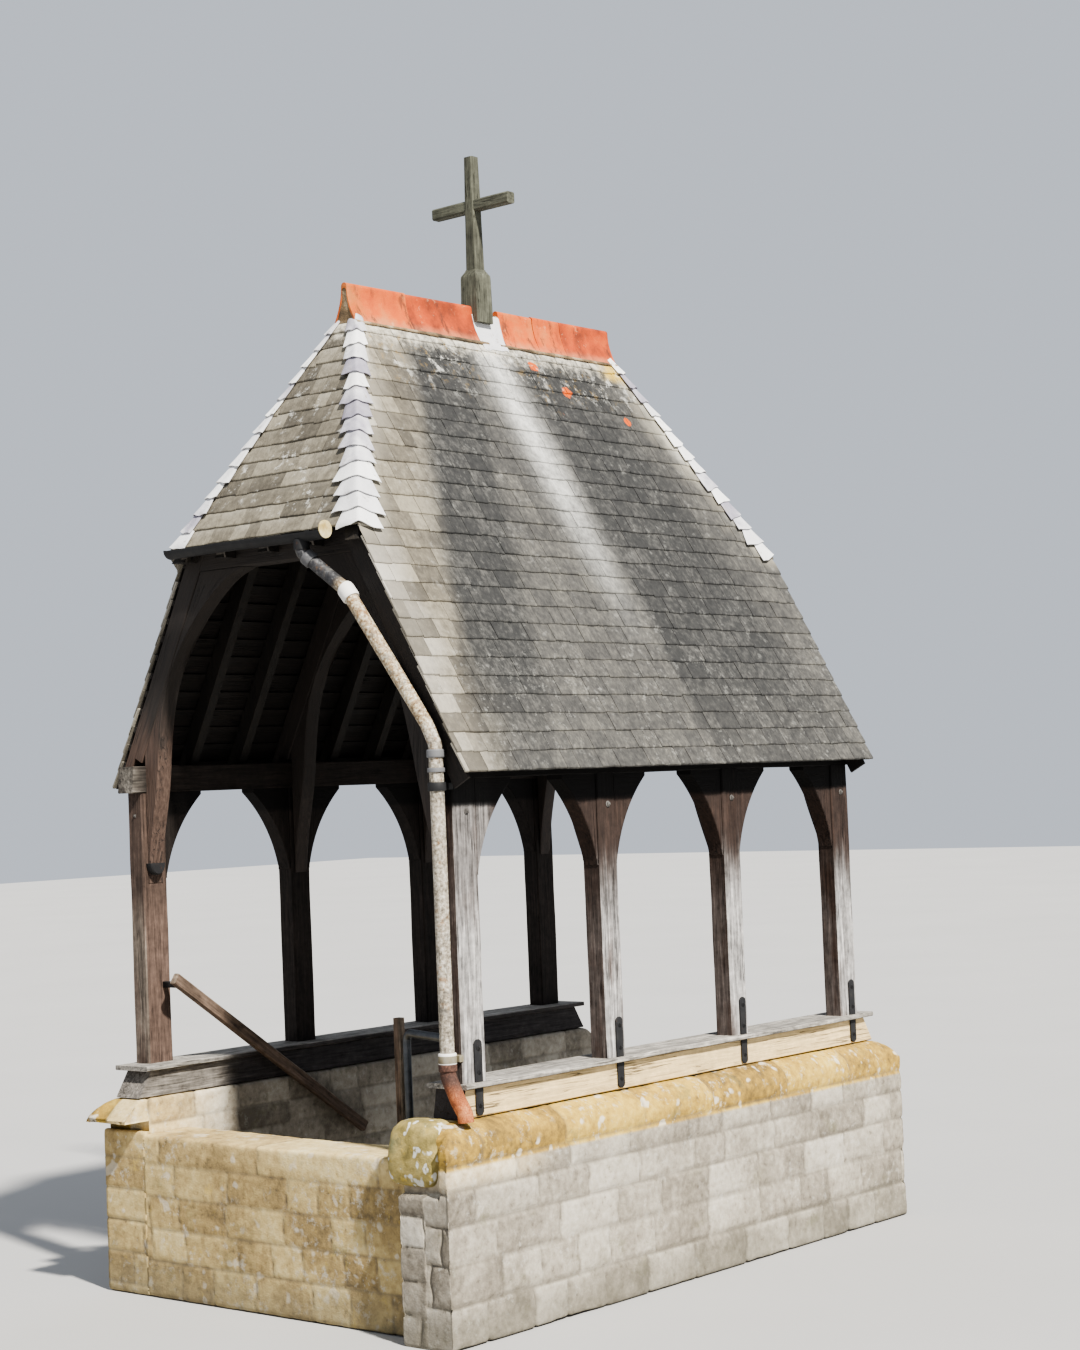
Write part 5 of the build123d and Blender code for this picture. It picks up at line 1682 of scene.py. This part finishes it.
def oak_look(silver, brown, dark, own_grain=True, streaky=0.5, eave_shadow=0.0, front=0.0,
             near_end_silver_and_sun=0.0, near_start=-0.95, contrast=1.0):
    """Look of one kind of oak: silver outside, brown inside, dark in the cracks.

    eave_shadow paints the eave's shadow in as near black right under the eave; front is how much
    the faces towards the churchyard have silvered, and near_end_silver_and_sun how much the ends
    there are paler, partly silvered and partly painted sunlight.
    """
    def four_tones(value, colour, factors):
        """Ramp of one colour times four factors, which a low contrast brings nearer to 1."""
        stops = []
        for position, factor in zip((0.2, 0.42, 0.6, 0.8), factors):
            factor = 1.0 + (factor - 1.0) * contrast
            stops.append((position, *(min(part * factor, 1.0) for part in colour)))
        return ramp(value, *stops)

    def look(tree):
        place = frame_place(tree)
        x, y, z = split(place)
        run = attribute(tree, "grain", "Vector") if own_grain else place
        fibres, streaks, pores, cracks = placed(fibre_group, {"Grain place": run})
        slow, fine, _ = surface(place, 3.0)
        looks_x, looks_y, looks_z = split(Value(add(tree, "ShaderNodeNewGeometry")
                                                .outputs["Normal"]))
        facing = step_up(looks_y, -0.3, -0.8) \
            * step_up(0.6 * streaks + 0.5 * slow, 0.4, 0.7) * front
        # Near ends are paler: partly silvering, partly painted sunlight where the sun falls there.
        tip = step_up(y + 0.3 * streaks, near_start, near_start - 0.3) * near_end_silver_and_sun
        # Faces turned outward or up are silver; the brown of faces turned to the passage is partly
        # weathering, partly painted shade.
        weather_and_shade = highest(step_up(looks_x * maths("SIGN", x), 0.25, 0.75),
                          step_up(looks_z, 0.3, 0.8), facing, tip)
        grainy = 1.5 * fibres + 0.5 * slow + 0.7 * fine - 0.85
        outer = four_tones(grainy, silver, (0.3, 0.78, 1.15, 1.85))
        inner = four_tones(grainy, brown, (0.35, 0.8, 1.12, 1.7))
        warm = step_up(0.62 * streaks + 0.55 * slow, 0.56, 0.78)
        near_right = step_up(y, -1.4, -1.5) * step_up(x, 0.5, 0.6)
        dry = step_up(z + 0.5 * streaks, ground + 1.26, ground + 1.72) \
            * (1.0 - near_right * 0.6) * (1.0 - tip)
        share = weather_and_shade * (1.0 - warm * streaky) * (1.0 - dry * 0.97)
        # The eave's shadow on the posts is painted in: near black above this height.
        painted_eave_shadow = step_up(z, ground + 1.676, ground + 1.712) * eave_shadow
        base = coated(inner, (share, outer), (dry * 0.4, dark),
                      (painted_eave_shadow, (0.0012, 0.001, 0.001)), (cracks * 0.8, dark),
                      (step_up(pores, 0.6, 0.72) * 0.3, dark))
        return base, *oak_finish(fibres, pores, cracks)
    return look


black_oak = (0.01, 0.008, 0.007)
roof_sheen, oak_sheen = 0.45, 0.2
oak_kinds = {
    "weathered_oak_grain": ((0.32, 0.308, 0.298), (0.044, 0.026, 0.019), (0.012, 0.009, 0.008),
                            dict(streaky=0.8, eave_shadow=0.96, front=0.3)),
    # The left plate, posts and braces stand in the passage's shade: their darker oak is painted
    # shade.
    "left_plate_shaded_oak": ((0.23, 0.21, 0.18), (0.027, 0.021, 0.018), black_oak,
                       dict(near_end_silver_and_sun=0.95, near_start=-1.45)),
    "passage_shaded_oak": ((0.13, 0.112, 0.102), (0.027, 0.021, 0.018), black_oak,
                         dict(eave_shadow=0.8)),
    "ruddy_post_oak": ((0.165, 0.146, 0.12), (0.1, 0.068, 0.054), (0.012, 0.009, 0.007),
                       dict(streaky=0.6, front=0.95)),
    # Oak in the roof and under the verges is painted near black, which stands for the shade there.
    "shaded_oak_grain": ((0.016, 0.012, 0.01), (0.015, 0.011, 0.009), (0.004, 0.003, 0.003), {}),
    "roof_framing_shaded_oak": ((0.02, 0.016, 0.011), (0.018, 0.014, 0.01), (0.004, 0.003, 0.003),
                         dict(own_grain=False)),
    "pale_sill_oak": ((0.29, 0.272, 0.245), (0.06, 0.053, 0.05), (0.04, 0.034, 0.029),
                      dict(streaky=0.35, near_end_silver_and_sun=0.9)),
    "cream_sole_oak": ((0.64, 0.49, 0.27), (0.046, 0.041, 0.041), (0.09, 0.066, 0.04),
                       dict(streaky=0.1, contrast=0.35)),
    "grey_sole_oak": ((0.19, 0.172, 0.15), (0.046, 0.041, 0.041), (0.05, 0.04, 0.03),
                      dict(streaky=0.25, near_end_silver_and_sun=0.85)),
    "mossy_oak": ((0.17, 0.172, 0.13), (0.14, 0.142, 0.106), black_oak, {}),
    "brown_rail_oak": ((0.23, 0.185, 0.14), (0.112, 0.08, 0.06), black_oak, {})}
bump_sizes = {"roof_framing_shaded_oak": 0.003, "brown_rail_oak": 0.002}
for name, (silver, brown, dark, options) in oak_kinds.items():
    in_roof = name in ("shaded_oak_grain", "roof_framing_shaded_oak")
    new_material(name, oak_look(silver, brown, dark, **options), bump_sizes.get(name, 0.004),
                 specular=roof_sheen if in_roof else oak_sheen)
print("oak materials:", len(oak_kinds))

# %% [markdown]
# ## Truss oak
# The trusses are painted near black up in the roof, which stands for the shade there, and ruddy
# brown where their feet join the posts, so their colour changes with height. The near left foot
# has weathered most.

# %% Truss material
def truss_look(tree):
    """Oak painted near black for the roof's shade, turning brown below the springing of the arch.
    """
    x, y, z = split(frame_place(tree))
    run = attribute(tree, "grain", "Vector")
    fibres, streaks, pores, cracks = placed(fibre_group, {"Grain place": run})
    # Near black in the roof: painted shade.
    roof = ramp(fibres, (0.25, 0.01, 0.007, 0.006), (0.5, 0.021, 0.016, 0.013),
                (0.78, 0.034, 0.026, 0.022))
    foot = ramp(fibres, (0.25, 0.016, 0.011, 0.009), (0.5, 0.036, 0.026, 0.021),
                (0.78, 0.06, 0.045, 0.037))
    ruddy_foot = ramp(fibres, (0.3, 0.03, 0.018, 0.013), (0.5, 0.074, 0.046, 0.034),
                      (0.72, 0.12, 0.082, 0.064))
    near_left = step_up(x, -0.8, -0.86) * step_up(y, -1.4, -1.5)
    lower = step_up(z - ground + 0.7 * streaks - 0.42 * near_left, 2.25, 1.95)
    base = coated(roof, (lower, blend(near_left, foot, ruddy_foot)), (cracks * 0.8, black_oak))
    return base, *oak_finish(fibres, pores, cracks)


new_material("truss_oak_shaded_above", truss_look, 0.004, specular=roof_sheen)
print("truss material ready")

# %% [markdown]
# ## Stone and mortar
# The limestone reads the stone number and the joint mask. The top course outside is ochre with
# white and yellow lichen; the rest is pale grey, with painted sunlight in warm cream on the inner
# face near the churchyard. The corner stone is nearly hidden by lichen.

# %% Stone and mortar
def stone_look(tree):
    """Ochre plinth outside, grey ashlar inside, mortar in the joints, lichen on top."""
    place = frame_place(tree)
    _, y, z = split(place)
    number, joint, plinth = (attribute(tree, key) for key in ("stone", "joint", "plinth"))
    slow, fine, grit = surface(place, 3.6)
    mixed = 0.3 * number + 0.66 * slow + 0.62 * fine - 0.29
    ochre = ramp(mixed, (0.24, 0.15, 0.095, 0.024), (0.42, 0.33, 0.21, 0.04),
                 (0.6, 0.5, 0.345, 0.078), (0.8, 0.62, 0.48, 0.17))
    grey = ramp(mixed, (0.28, 0.14, 0.12, 0.092), (0.45, 0.25, 0.22, 0.175),
                (0.62, 0.37, 0.335, 0.275), (0.8, 0.48, 0.445, 0.38))
    gold = ramp(mixed, (0.22, 0.26, 0.195, 0.1), (0.45, 0.52, 0.43, 0.28),
                (0.65, 0.69, 0.61, 0.45), (0.85, 0.76, 0.72, 0.6))
    # Painted sunlight: the near end of the inner face, where the sun falls, is warmed to cream.
    painted_sun_patch = step_up(y + 0.2 * slow, -1.05, -1.45) * step_up(z, ground - 0.16, ground - 0.04)
    white = lichen(place, 19.0, 3.0, 0.47, 0.12)
    yellow = lichen(stretched(place, (1.0, 1.3, 0.8)), 12.0, 2.2, 0.41, 0.05) * plinth
    blotches = step_up(noise(place, 10.0, 1.5), 0.64, 0.7) * plinth
    moss = lichen(stretched(place, (0.9, 0.9, 1.2)), 5.0, 1.7, 0.46, 0.12)
    damp = step_up(z + 0.25 * slow, 0.42, 0.16)
    colour = coated(grey, (painted_sun_patch * 0.88, gold), (plinth, ochre),
                    (white * (plinth * 0.2 + 0.3), chalk),
                    (yellow * 0.55, (0.48, 0.34, 0.06)),
                    (blotches * 0.7, (0.64, 0.6, 0.52)),
                    (moss * 0.45, (0.11, 0.105, 0.048)),
                    (step_up(fine, 0.38, 0.3) * 0.4, (0.075, 0.06, 0.04)),
                    (joint * 0.62, (0.105, 0.09, 0.068)),
                    (damp * 0.45, (0.105, 0.098, 0.07)))
    return colour, 0.18 * fine + 0.76, 0.8 * fine + 0.25 * grit + 0.4 * slow


def boulder_look(tree):
    """Tan stone almost hidden by grey-green, ochre and white lichen."""
    place = frame_place(tree)
    slow, fine, grit = surface(place, 9.0)
    tan = ramp(slow, (0.3, 0.09, 0.072, 0.022), (0.45, 0.24, 0.19, 0.062),
               (0.58, 0.36, 0.285, 0.105), (0.75, 0.21, 0.2, 0.095))
    white = step_up(noise(stretched(place, (1.2, 1.0, 1.0)), 16.0, 1.5), 0.62, 0.67)
    colour = coated(tan, (lichen(place, 17.0, 5.0, 0.46, 0.06) * 0.75, (0.43, 0.3, 0.05)),
                    (lichen(place, 11.0, 4.0, 0.47, 0.1) * 0.65, (0.1, 0.105, 0.06)),
                    (white * 0.85, (0.64, 0.64, 0.6)),
                    (step_up(fine, 0.38, 0.3) * 0.5, (0.06, 0.055, 0.035)))
    return colour, 0.9, 0.9 * fine + 0.3 * grit + 0.6 * slow


def mortar_look(tree):
    """Old mortar: ochre and dark, with paler bits where the pointing is newer."""
    # The dark end of the colour is partly painted shade: it stands for the shadow under the tiles'
    # feet.
    slow, fine, grit = surface(frame_place(tree), 8.0)
    colour = ramp(slow, (0.35, 0.06, 0.042, 0.024), (0.52, 0.19, 0.13, 0.07),
                  (0.72, 0.48, 0.4, 0.28))
    return colour, 0.9, fine + 0.2 * grit


new_material("lichen_limestone", stone_look, 0.005)
new_material("lichen_boulder", boulder_look, 0.006)
new_material("ridge_mortar_shaded_mix", mortar_look, 0.003)
print("stone materials ready")

# %% [markdown]
# ## Clay and lead
# The tiles are a hot orange, paler at the foot, with brown growth in the hollows. The folded
# sheets are chalky white, and every third or so has a lilac-grey bloom.

# %% Clay and lead
def clay_look(tree):
    """Orange terracotta, paler at the foot, with dark, yellow and white growth."""
    place = frame_place(tree)
    _, y, z = split(place)
    slow, fine, _ = surface(place, 7.0)
    orange = ramp(0.3 * attribute(tree, "piece_tone") + 0.7 * slow,
                  (0.3, 0.13, 0.02, 0.005), (0.46, 0.38, 0.055, 0.008),
                  (0.62, 0.52, 0.1, 0.016), (0.8, 0.48, 0.17, 0.055))
    foot = step_up(z - 0.08 * slow, ground + 4.335, ground + 4.275)
    dirt = lichen(stretched(place, (1.0, 1.6, 0.6)), 13.0, 5.0, 0.5, 0.12)
    white = lichen(stretched(place, (1.0, 1.0, 0.8)), 24.0, 7.0, 0.42)
    gold = step_up(0.25 * slow - y, 1.1, 1.22) * step_up(fine, 0.4, 0.52)
    colour = coated(orange, (foot * 0.45, (0.46, 0.22, 0.12)),
                    (dirt * 0.8, (0.085, 0.024, 0.012)), (white * 0.35, (0.56, 0.38, 0.23)),
                    (gold * 0.35, (0.3, 0.12, 0.02)))
    return colour, 0.85, 0.8 * fine + 0.4 * slow


def lead_look(tree):
    """Chalky white with lilac-grey sheets among it, stained brown in spots."""
    place = frame_place(tree)
    slow, fine, _ = surface(place, 9.0)
    white = ramp(0.62 * attribute(tree, "piece_tone") + 0.38 * slow,
                 (0.2, 0.185, 0.17, 0.215), (0.34, 0.3, 0.285, 0.33),
                 (0.46, 0.56, 0.555, 0.57), (0.8, 0.8, 0.795, 0.78))
    colour = blend(lichen(place, 20.0, 7.0, 0.44) * 0.5, white, (0.24, 0.205, 0.16))
    return colour, 0.15 * fine + 0.66, 0.7 * fine + 0.5 * slow


new_material("terracotta_tiles", clay_look, 0.003)
new_material("chalky_lead", lead_look, 0.003)
print("clay and lead ready")

# %% [markdown]
# ## Paint, rust and zinc
# The gutter and the straps are black iron; the pipe keeps several coats of old paint, which
# differ by height; the shoe has gone to red rust.

# %% Iron and pipe
def iron_look(tree):
    """Black paint on iron, rusty in patches. A tone near 0.7 is a worn grey nut; a higher one
    is pale with an orange middle."""
    place = frame_place(tree)
    tone = attribute(tree, "piece_tone")
    slow, fine, grit = surface(place, 14.0)
    black = ramp(slow, (0.3, 0.004, 0.004, 0.005), (0.55, 0.01, 0.01, 0.011),
                 (0.78, 0.026, 0.025, 0.022))
    disc = ramp(slow, (0.3, 0.33, 0.24, 0.08), (0.5, 0.54, 0.45, 0.24),
                (0.7, 0.64, 0.6, 0.46))
    bare = ramp(slow, (0.3, 0.05, 0.044, 0.04), (0.6, 0.125, 0.118, 0.11))
    pale = step_up(tone, 0.8, 0.9)
    worn = step_up(tone, 0.55, 0.65) * (1.0 - pale)
    colour = coated(black, (lichen(place, 33.0, 9.0, 0.41) * 0.5, (0.08, 0.03, 0.012)),
                    (pale, disc), (worn, bare))
    return colour, 0.2 * fine + 0.62, 0.6 * slow + 0.4 * grit


def pipe_look(tree):
    """Old paint: dark grey on the swan neck, speckled pink and cream on the slant, cream below.
    A collar's tone of 0.9 is white, and one of 0.2 or less is grey."""
    place = frame_place(tree)
    level, tone = attribute(tree, "pipe_height"), attribute(tree, "piece_tone")
    slow, fine, _ = surface(place, 9.0)
    mixed = 0.5 * slow + 1.6 * fine - 0.55
    cream = ramp(mixed, (0.2, 0.07, 0.058, 0.044), (0.42, 0.25, 0.215, 0.165),
                 (0.6, 0.4, 0.36, 0.295), (0.8, 0.58, 0.55, 0.48))
    pink = ramp(mixed, (0.2, 0.06, 0.036, 0.022), (0.42, 0.27, 0.19, 0.105),
                (0.6, 0.44, 0.38, 0.27), (0.8, 0.64, 0.62, 0.55))
    grey = ramp(fine, (0.35, 0.012, 0.012, 0.014), (0.55, 0.04, 0.04, 0.043),
                (0.72, 0.15, 0.15, 0.15))
    grey_growth = lichen(stretched(place, (1.3, 1.0, 1.0)), 15.0, 6.0, 0.46)
    chips = lichen(stretched(place, (1.0, 1.0, 0.3)), 60.0, 9.0, 0.46)
    colour = coated(cream, (step_up(level, 2.02, 2.12), pink), (step_up(level, 2.8, 2.84), grey),
                    (lichen(place, 24.0, 8.0, 0.46) * 0.55, (0.24, 0.12, 0.036)),
                    (grey_growth * 0.55, (0.115, 0.108, 0.095)),
                    (chips * 0.6, (0.06, 0.05, 0.04)),
                    (step_up(tone, 0.8, 0.9), (0.72, 0.7, 0.66)),
                    (step_up(tone, 0.25, 0.15), (0.14, 0.14, 0.145)))
    return colour, 0.2 * fine + 0.52, 0.8 * fine + 0.3 * slow


def rust_look(tree):
    """Terracotta-red rust with remains of dark paint."""
    place = frame_place(tree)
    slow, fine, _ = surface(place, 18.0)
    mixed = 0.9 * slow + 0.8 * fine - 0.35
    painted = ramp(mixed, (0.25, 0.018, 0.009, 0.006), (0.5, 0.062, 0.028, 0.019),
                   (0.75, 0.18, 0.09, 0.06))
    bare = ramp(mixed, (0.25, 0.09, 0.024, 0.009), (0.5, 0.3, 0.09, 0.03),
                (0.75, 0.52, 0.23, 0.1))
    low = step_up(split(place)[2] + 0.12 * slow, ground + 0.44, ground + 0.34)
    return blend(low, painted, bare), 0.85, fine + 0.4 * slow


def zinc_look(tree):
    """Blue-grey zinc."""
    slow, fine, _ = surface(frame_place(tree), 22.0)
    colour = ramp(slow, (0.3, 0.04, 0.045, 0.052), (0.7, 0.105, 0.112, 0.122))
    return colour, 0.3 * slow + 0.3, 0.4 * slow + 0.2 * fine


new_material("black_iron_paint", iron_look, 0.0012)
new_material("old_pipe_paint", pipe_look, 0.0012)
new_material("red_rust", rust_look, 0.0015)
new_material("zinc_tube_skin", zinc_look, 0.0005, metallic=0.7)
print("metal materials ready")

# %% [markdown]
# ## Dressing
# Each piece gets its material by how its name starts, and a later line wins over an earlier one.
# What is left over of the timber frame gets the roof's oak, painted dark for the shade there.

# %% Give materials to pieces
wearers = {
    "weathered_oak_grain": ["right_oak"],
    "passage_shaded_oak": ["left_oak"],
    "ruddy_post_oak": ["left_oak_post_1"],
    "left_plate_shaded_oak": ["left_oak_plate"],
    "pale_sill_oak": ["left_oak_sill", "right_oak_sill"],
    "grey_sole_oak": ["left_oak_sole"],
    "cream_sole_oak": ["right_oak_sole"],
    "stone_slates": ["right_slates", "left_slates", "near_hip_slates", "far_hip_slates"],
    "shaded_oak_grain": ["roof_lining", "oak_bargeboards"],
    "chalky_lead": ["hip_sheets", "cross_apron"],
    "terracotta_tiles": ["near_ridge", "far_ridge"],
    "ridge_mortar_shaded_mix": ["ridge_mortar"],
    "truss_oak_shaded_above": ["oak_truss"],
    "mossy_oak": ["oak_cross", "oak_pedestal"],
    "brown_rail_oak": ["oak_handrail", "oak_newel"],
    "old_pipe_paint": ["cast_downpipe"],
    "red_rust": ["rusty_shoe"],
    "lichen_limestone": ["right_wall_stones", "left_wall_stones", "kerb_slab", "step_slab"],
    "lichen_boulder": ["corner_boulder"],
    "black_iron_paint": ["cast_gutter", "right_straps", "left_straps", "post_bolts", "pipe_clip",
                         "rail_bracket"],
    "zinc_tube_skin": ["zinc_tube"]}
meshes = [piece for piece in bpy.context.scene.objects if piece.type == "MESH"]
for piece in meshes:
    chosen = "roof_framing_shaded_oak"
    for material_name, starts in wearers.items():
        if piece.name.startswith(tuple(starts)):
            chosen = material_name
    piece.data.materials.clear()
    piece.data.materials.append(bpy.data.materials[chosen])
print("dressed:", len(meshes), "pieces")

# %% [markdown]
# # Floor and light
# A plain pale floor lies at road level. The shadows in the photograph give the sun's direction:
# a single soft-edged sun stands there, and a pale even sky fills the shade.

# %% Floor, light and sky
def floor_look(tree):
    """Even pale grey, without a bump."""
    slow, _, _ = surface(frame_place(tree), 0.4)
    return ramp(slow, (0.3, 0.375, 0.37, 0.362), (0.7, 0.395, 0.39, 0.382)), 0.9


floor_mesh = bpy.data.meshes.new("studio_floor")
corners = [(-60, -60, 0), (60, -60, 0), (60, 60, 0), (-60, 60, 0)]
floor_mesh.from_pydata(corners, [], [(0, 1, 2, 3)])
floor_mesh.materials.append(new_material("studio_floor_paint", floor_look, 0.0))
floor = bpy.data.objects.new("studio_floor", floor_mesh)
bpy.context.collection.objects.link(floor)

sun = bpy.data.lights.new("key_sun", "SUN")
sun.energy, sun.angle, sun.color = 9.6, math.radians(3.0), (1.0, 0.965, 0.9)
sun_object = bpy.data.objects.new("key_sun", sun)
bpy.context.collection.objects.link(sun_object)
sun_from = unit(np.array([1.0, -0.285, 1.09]))
sun_object.rotation_euler = (math.acos(sun_from[2]), 0.0, math.atan2(sun_from[0], -sun_from[1]))

world = bpy.data.worlds.new("pale_sky")
bpy.context.scene.world = world
world.use_nodes = True
background = world.node_tree.nodes["Background"]
background.inputs["Color"].default_value = (0.84, 0.9, 1.0, 1.0)
background.inputs["Strength"].default_value = 0.66
bpy.context.scene.view_settings.look = "AgX - Medium High Contrast"
print("lights ready")
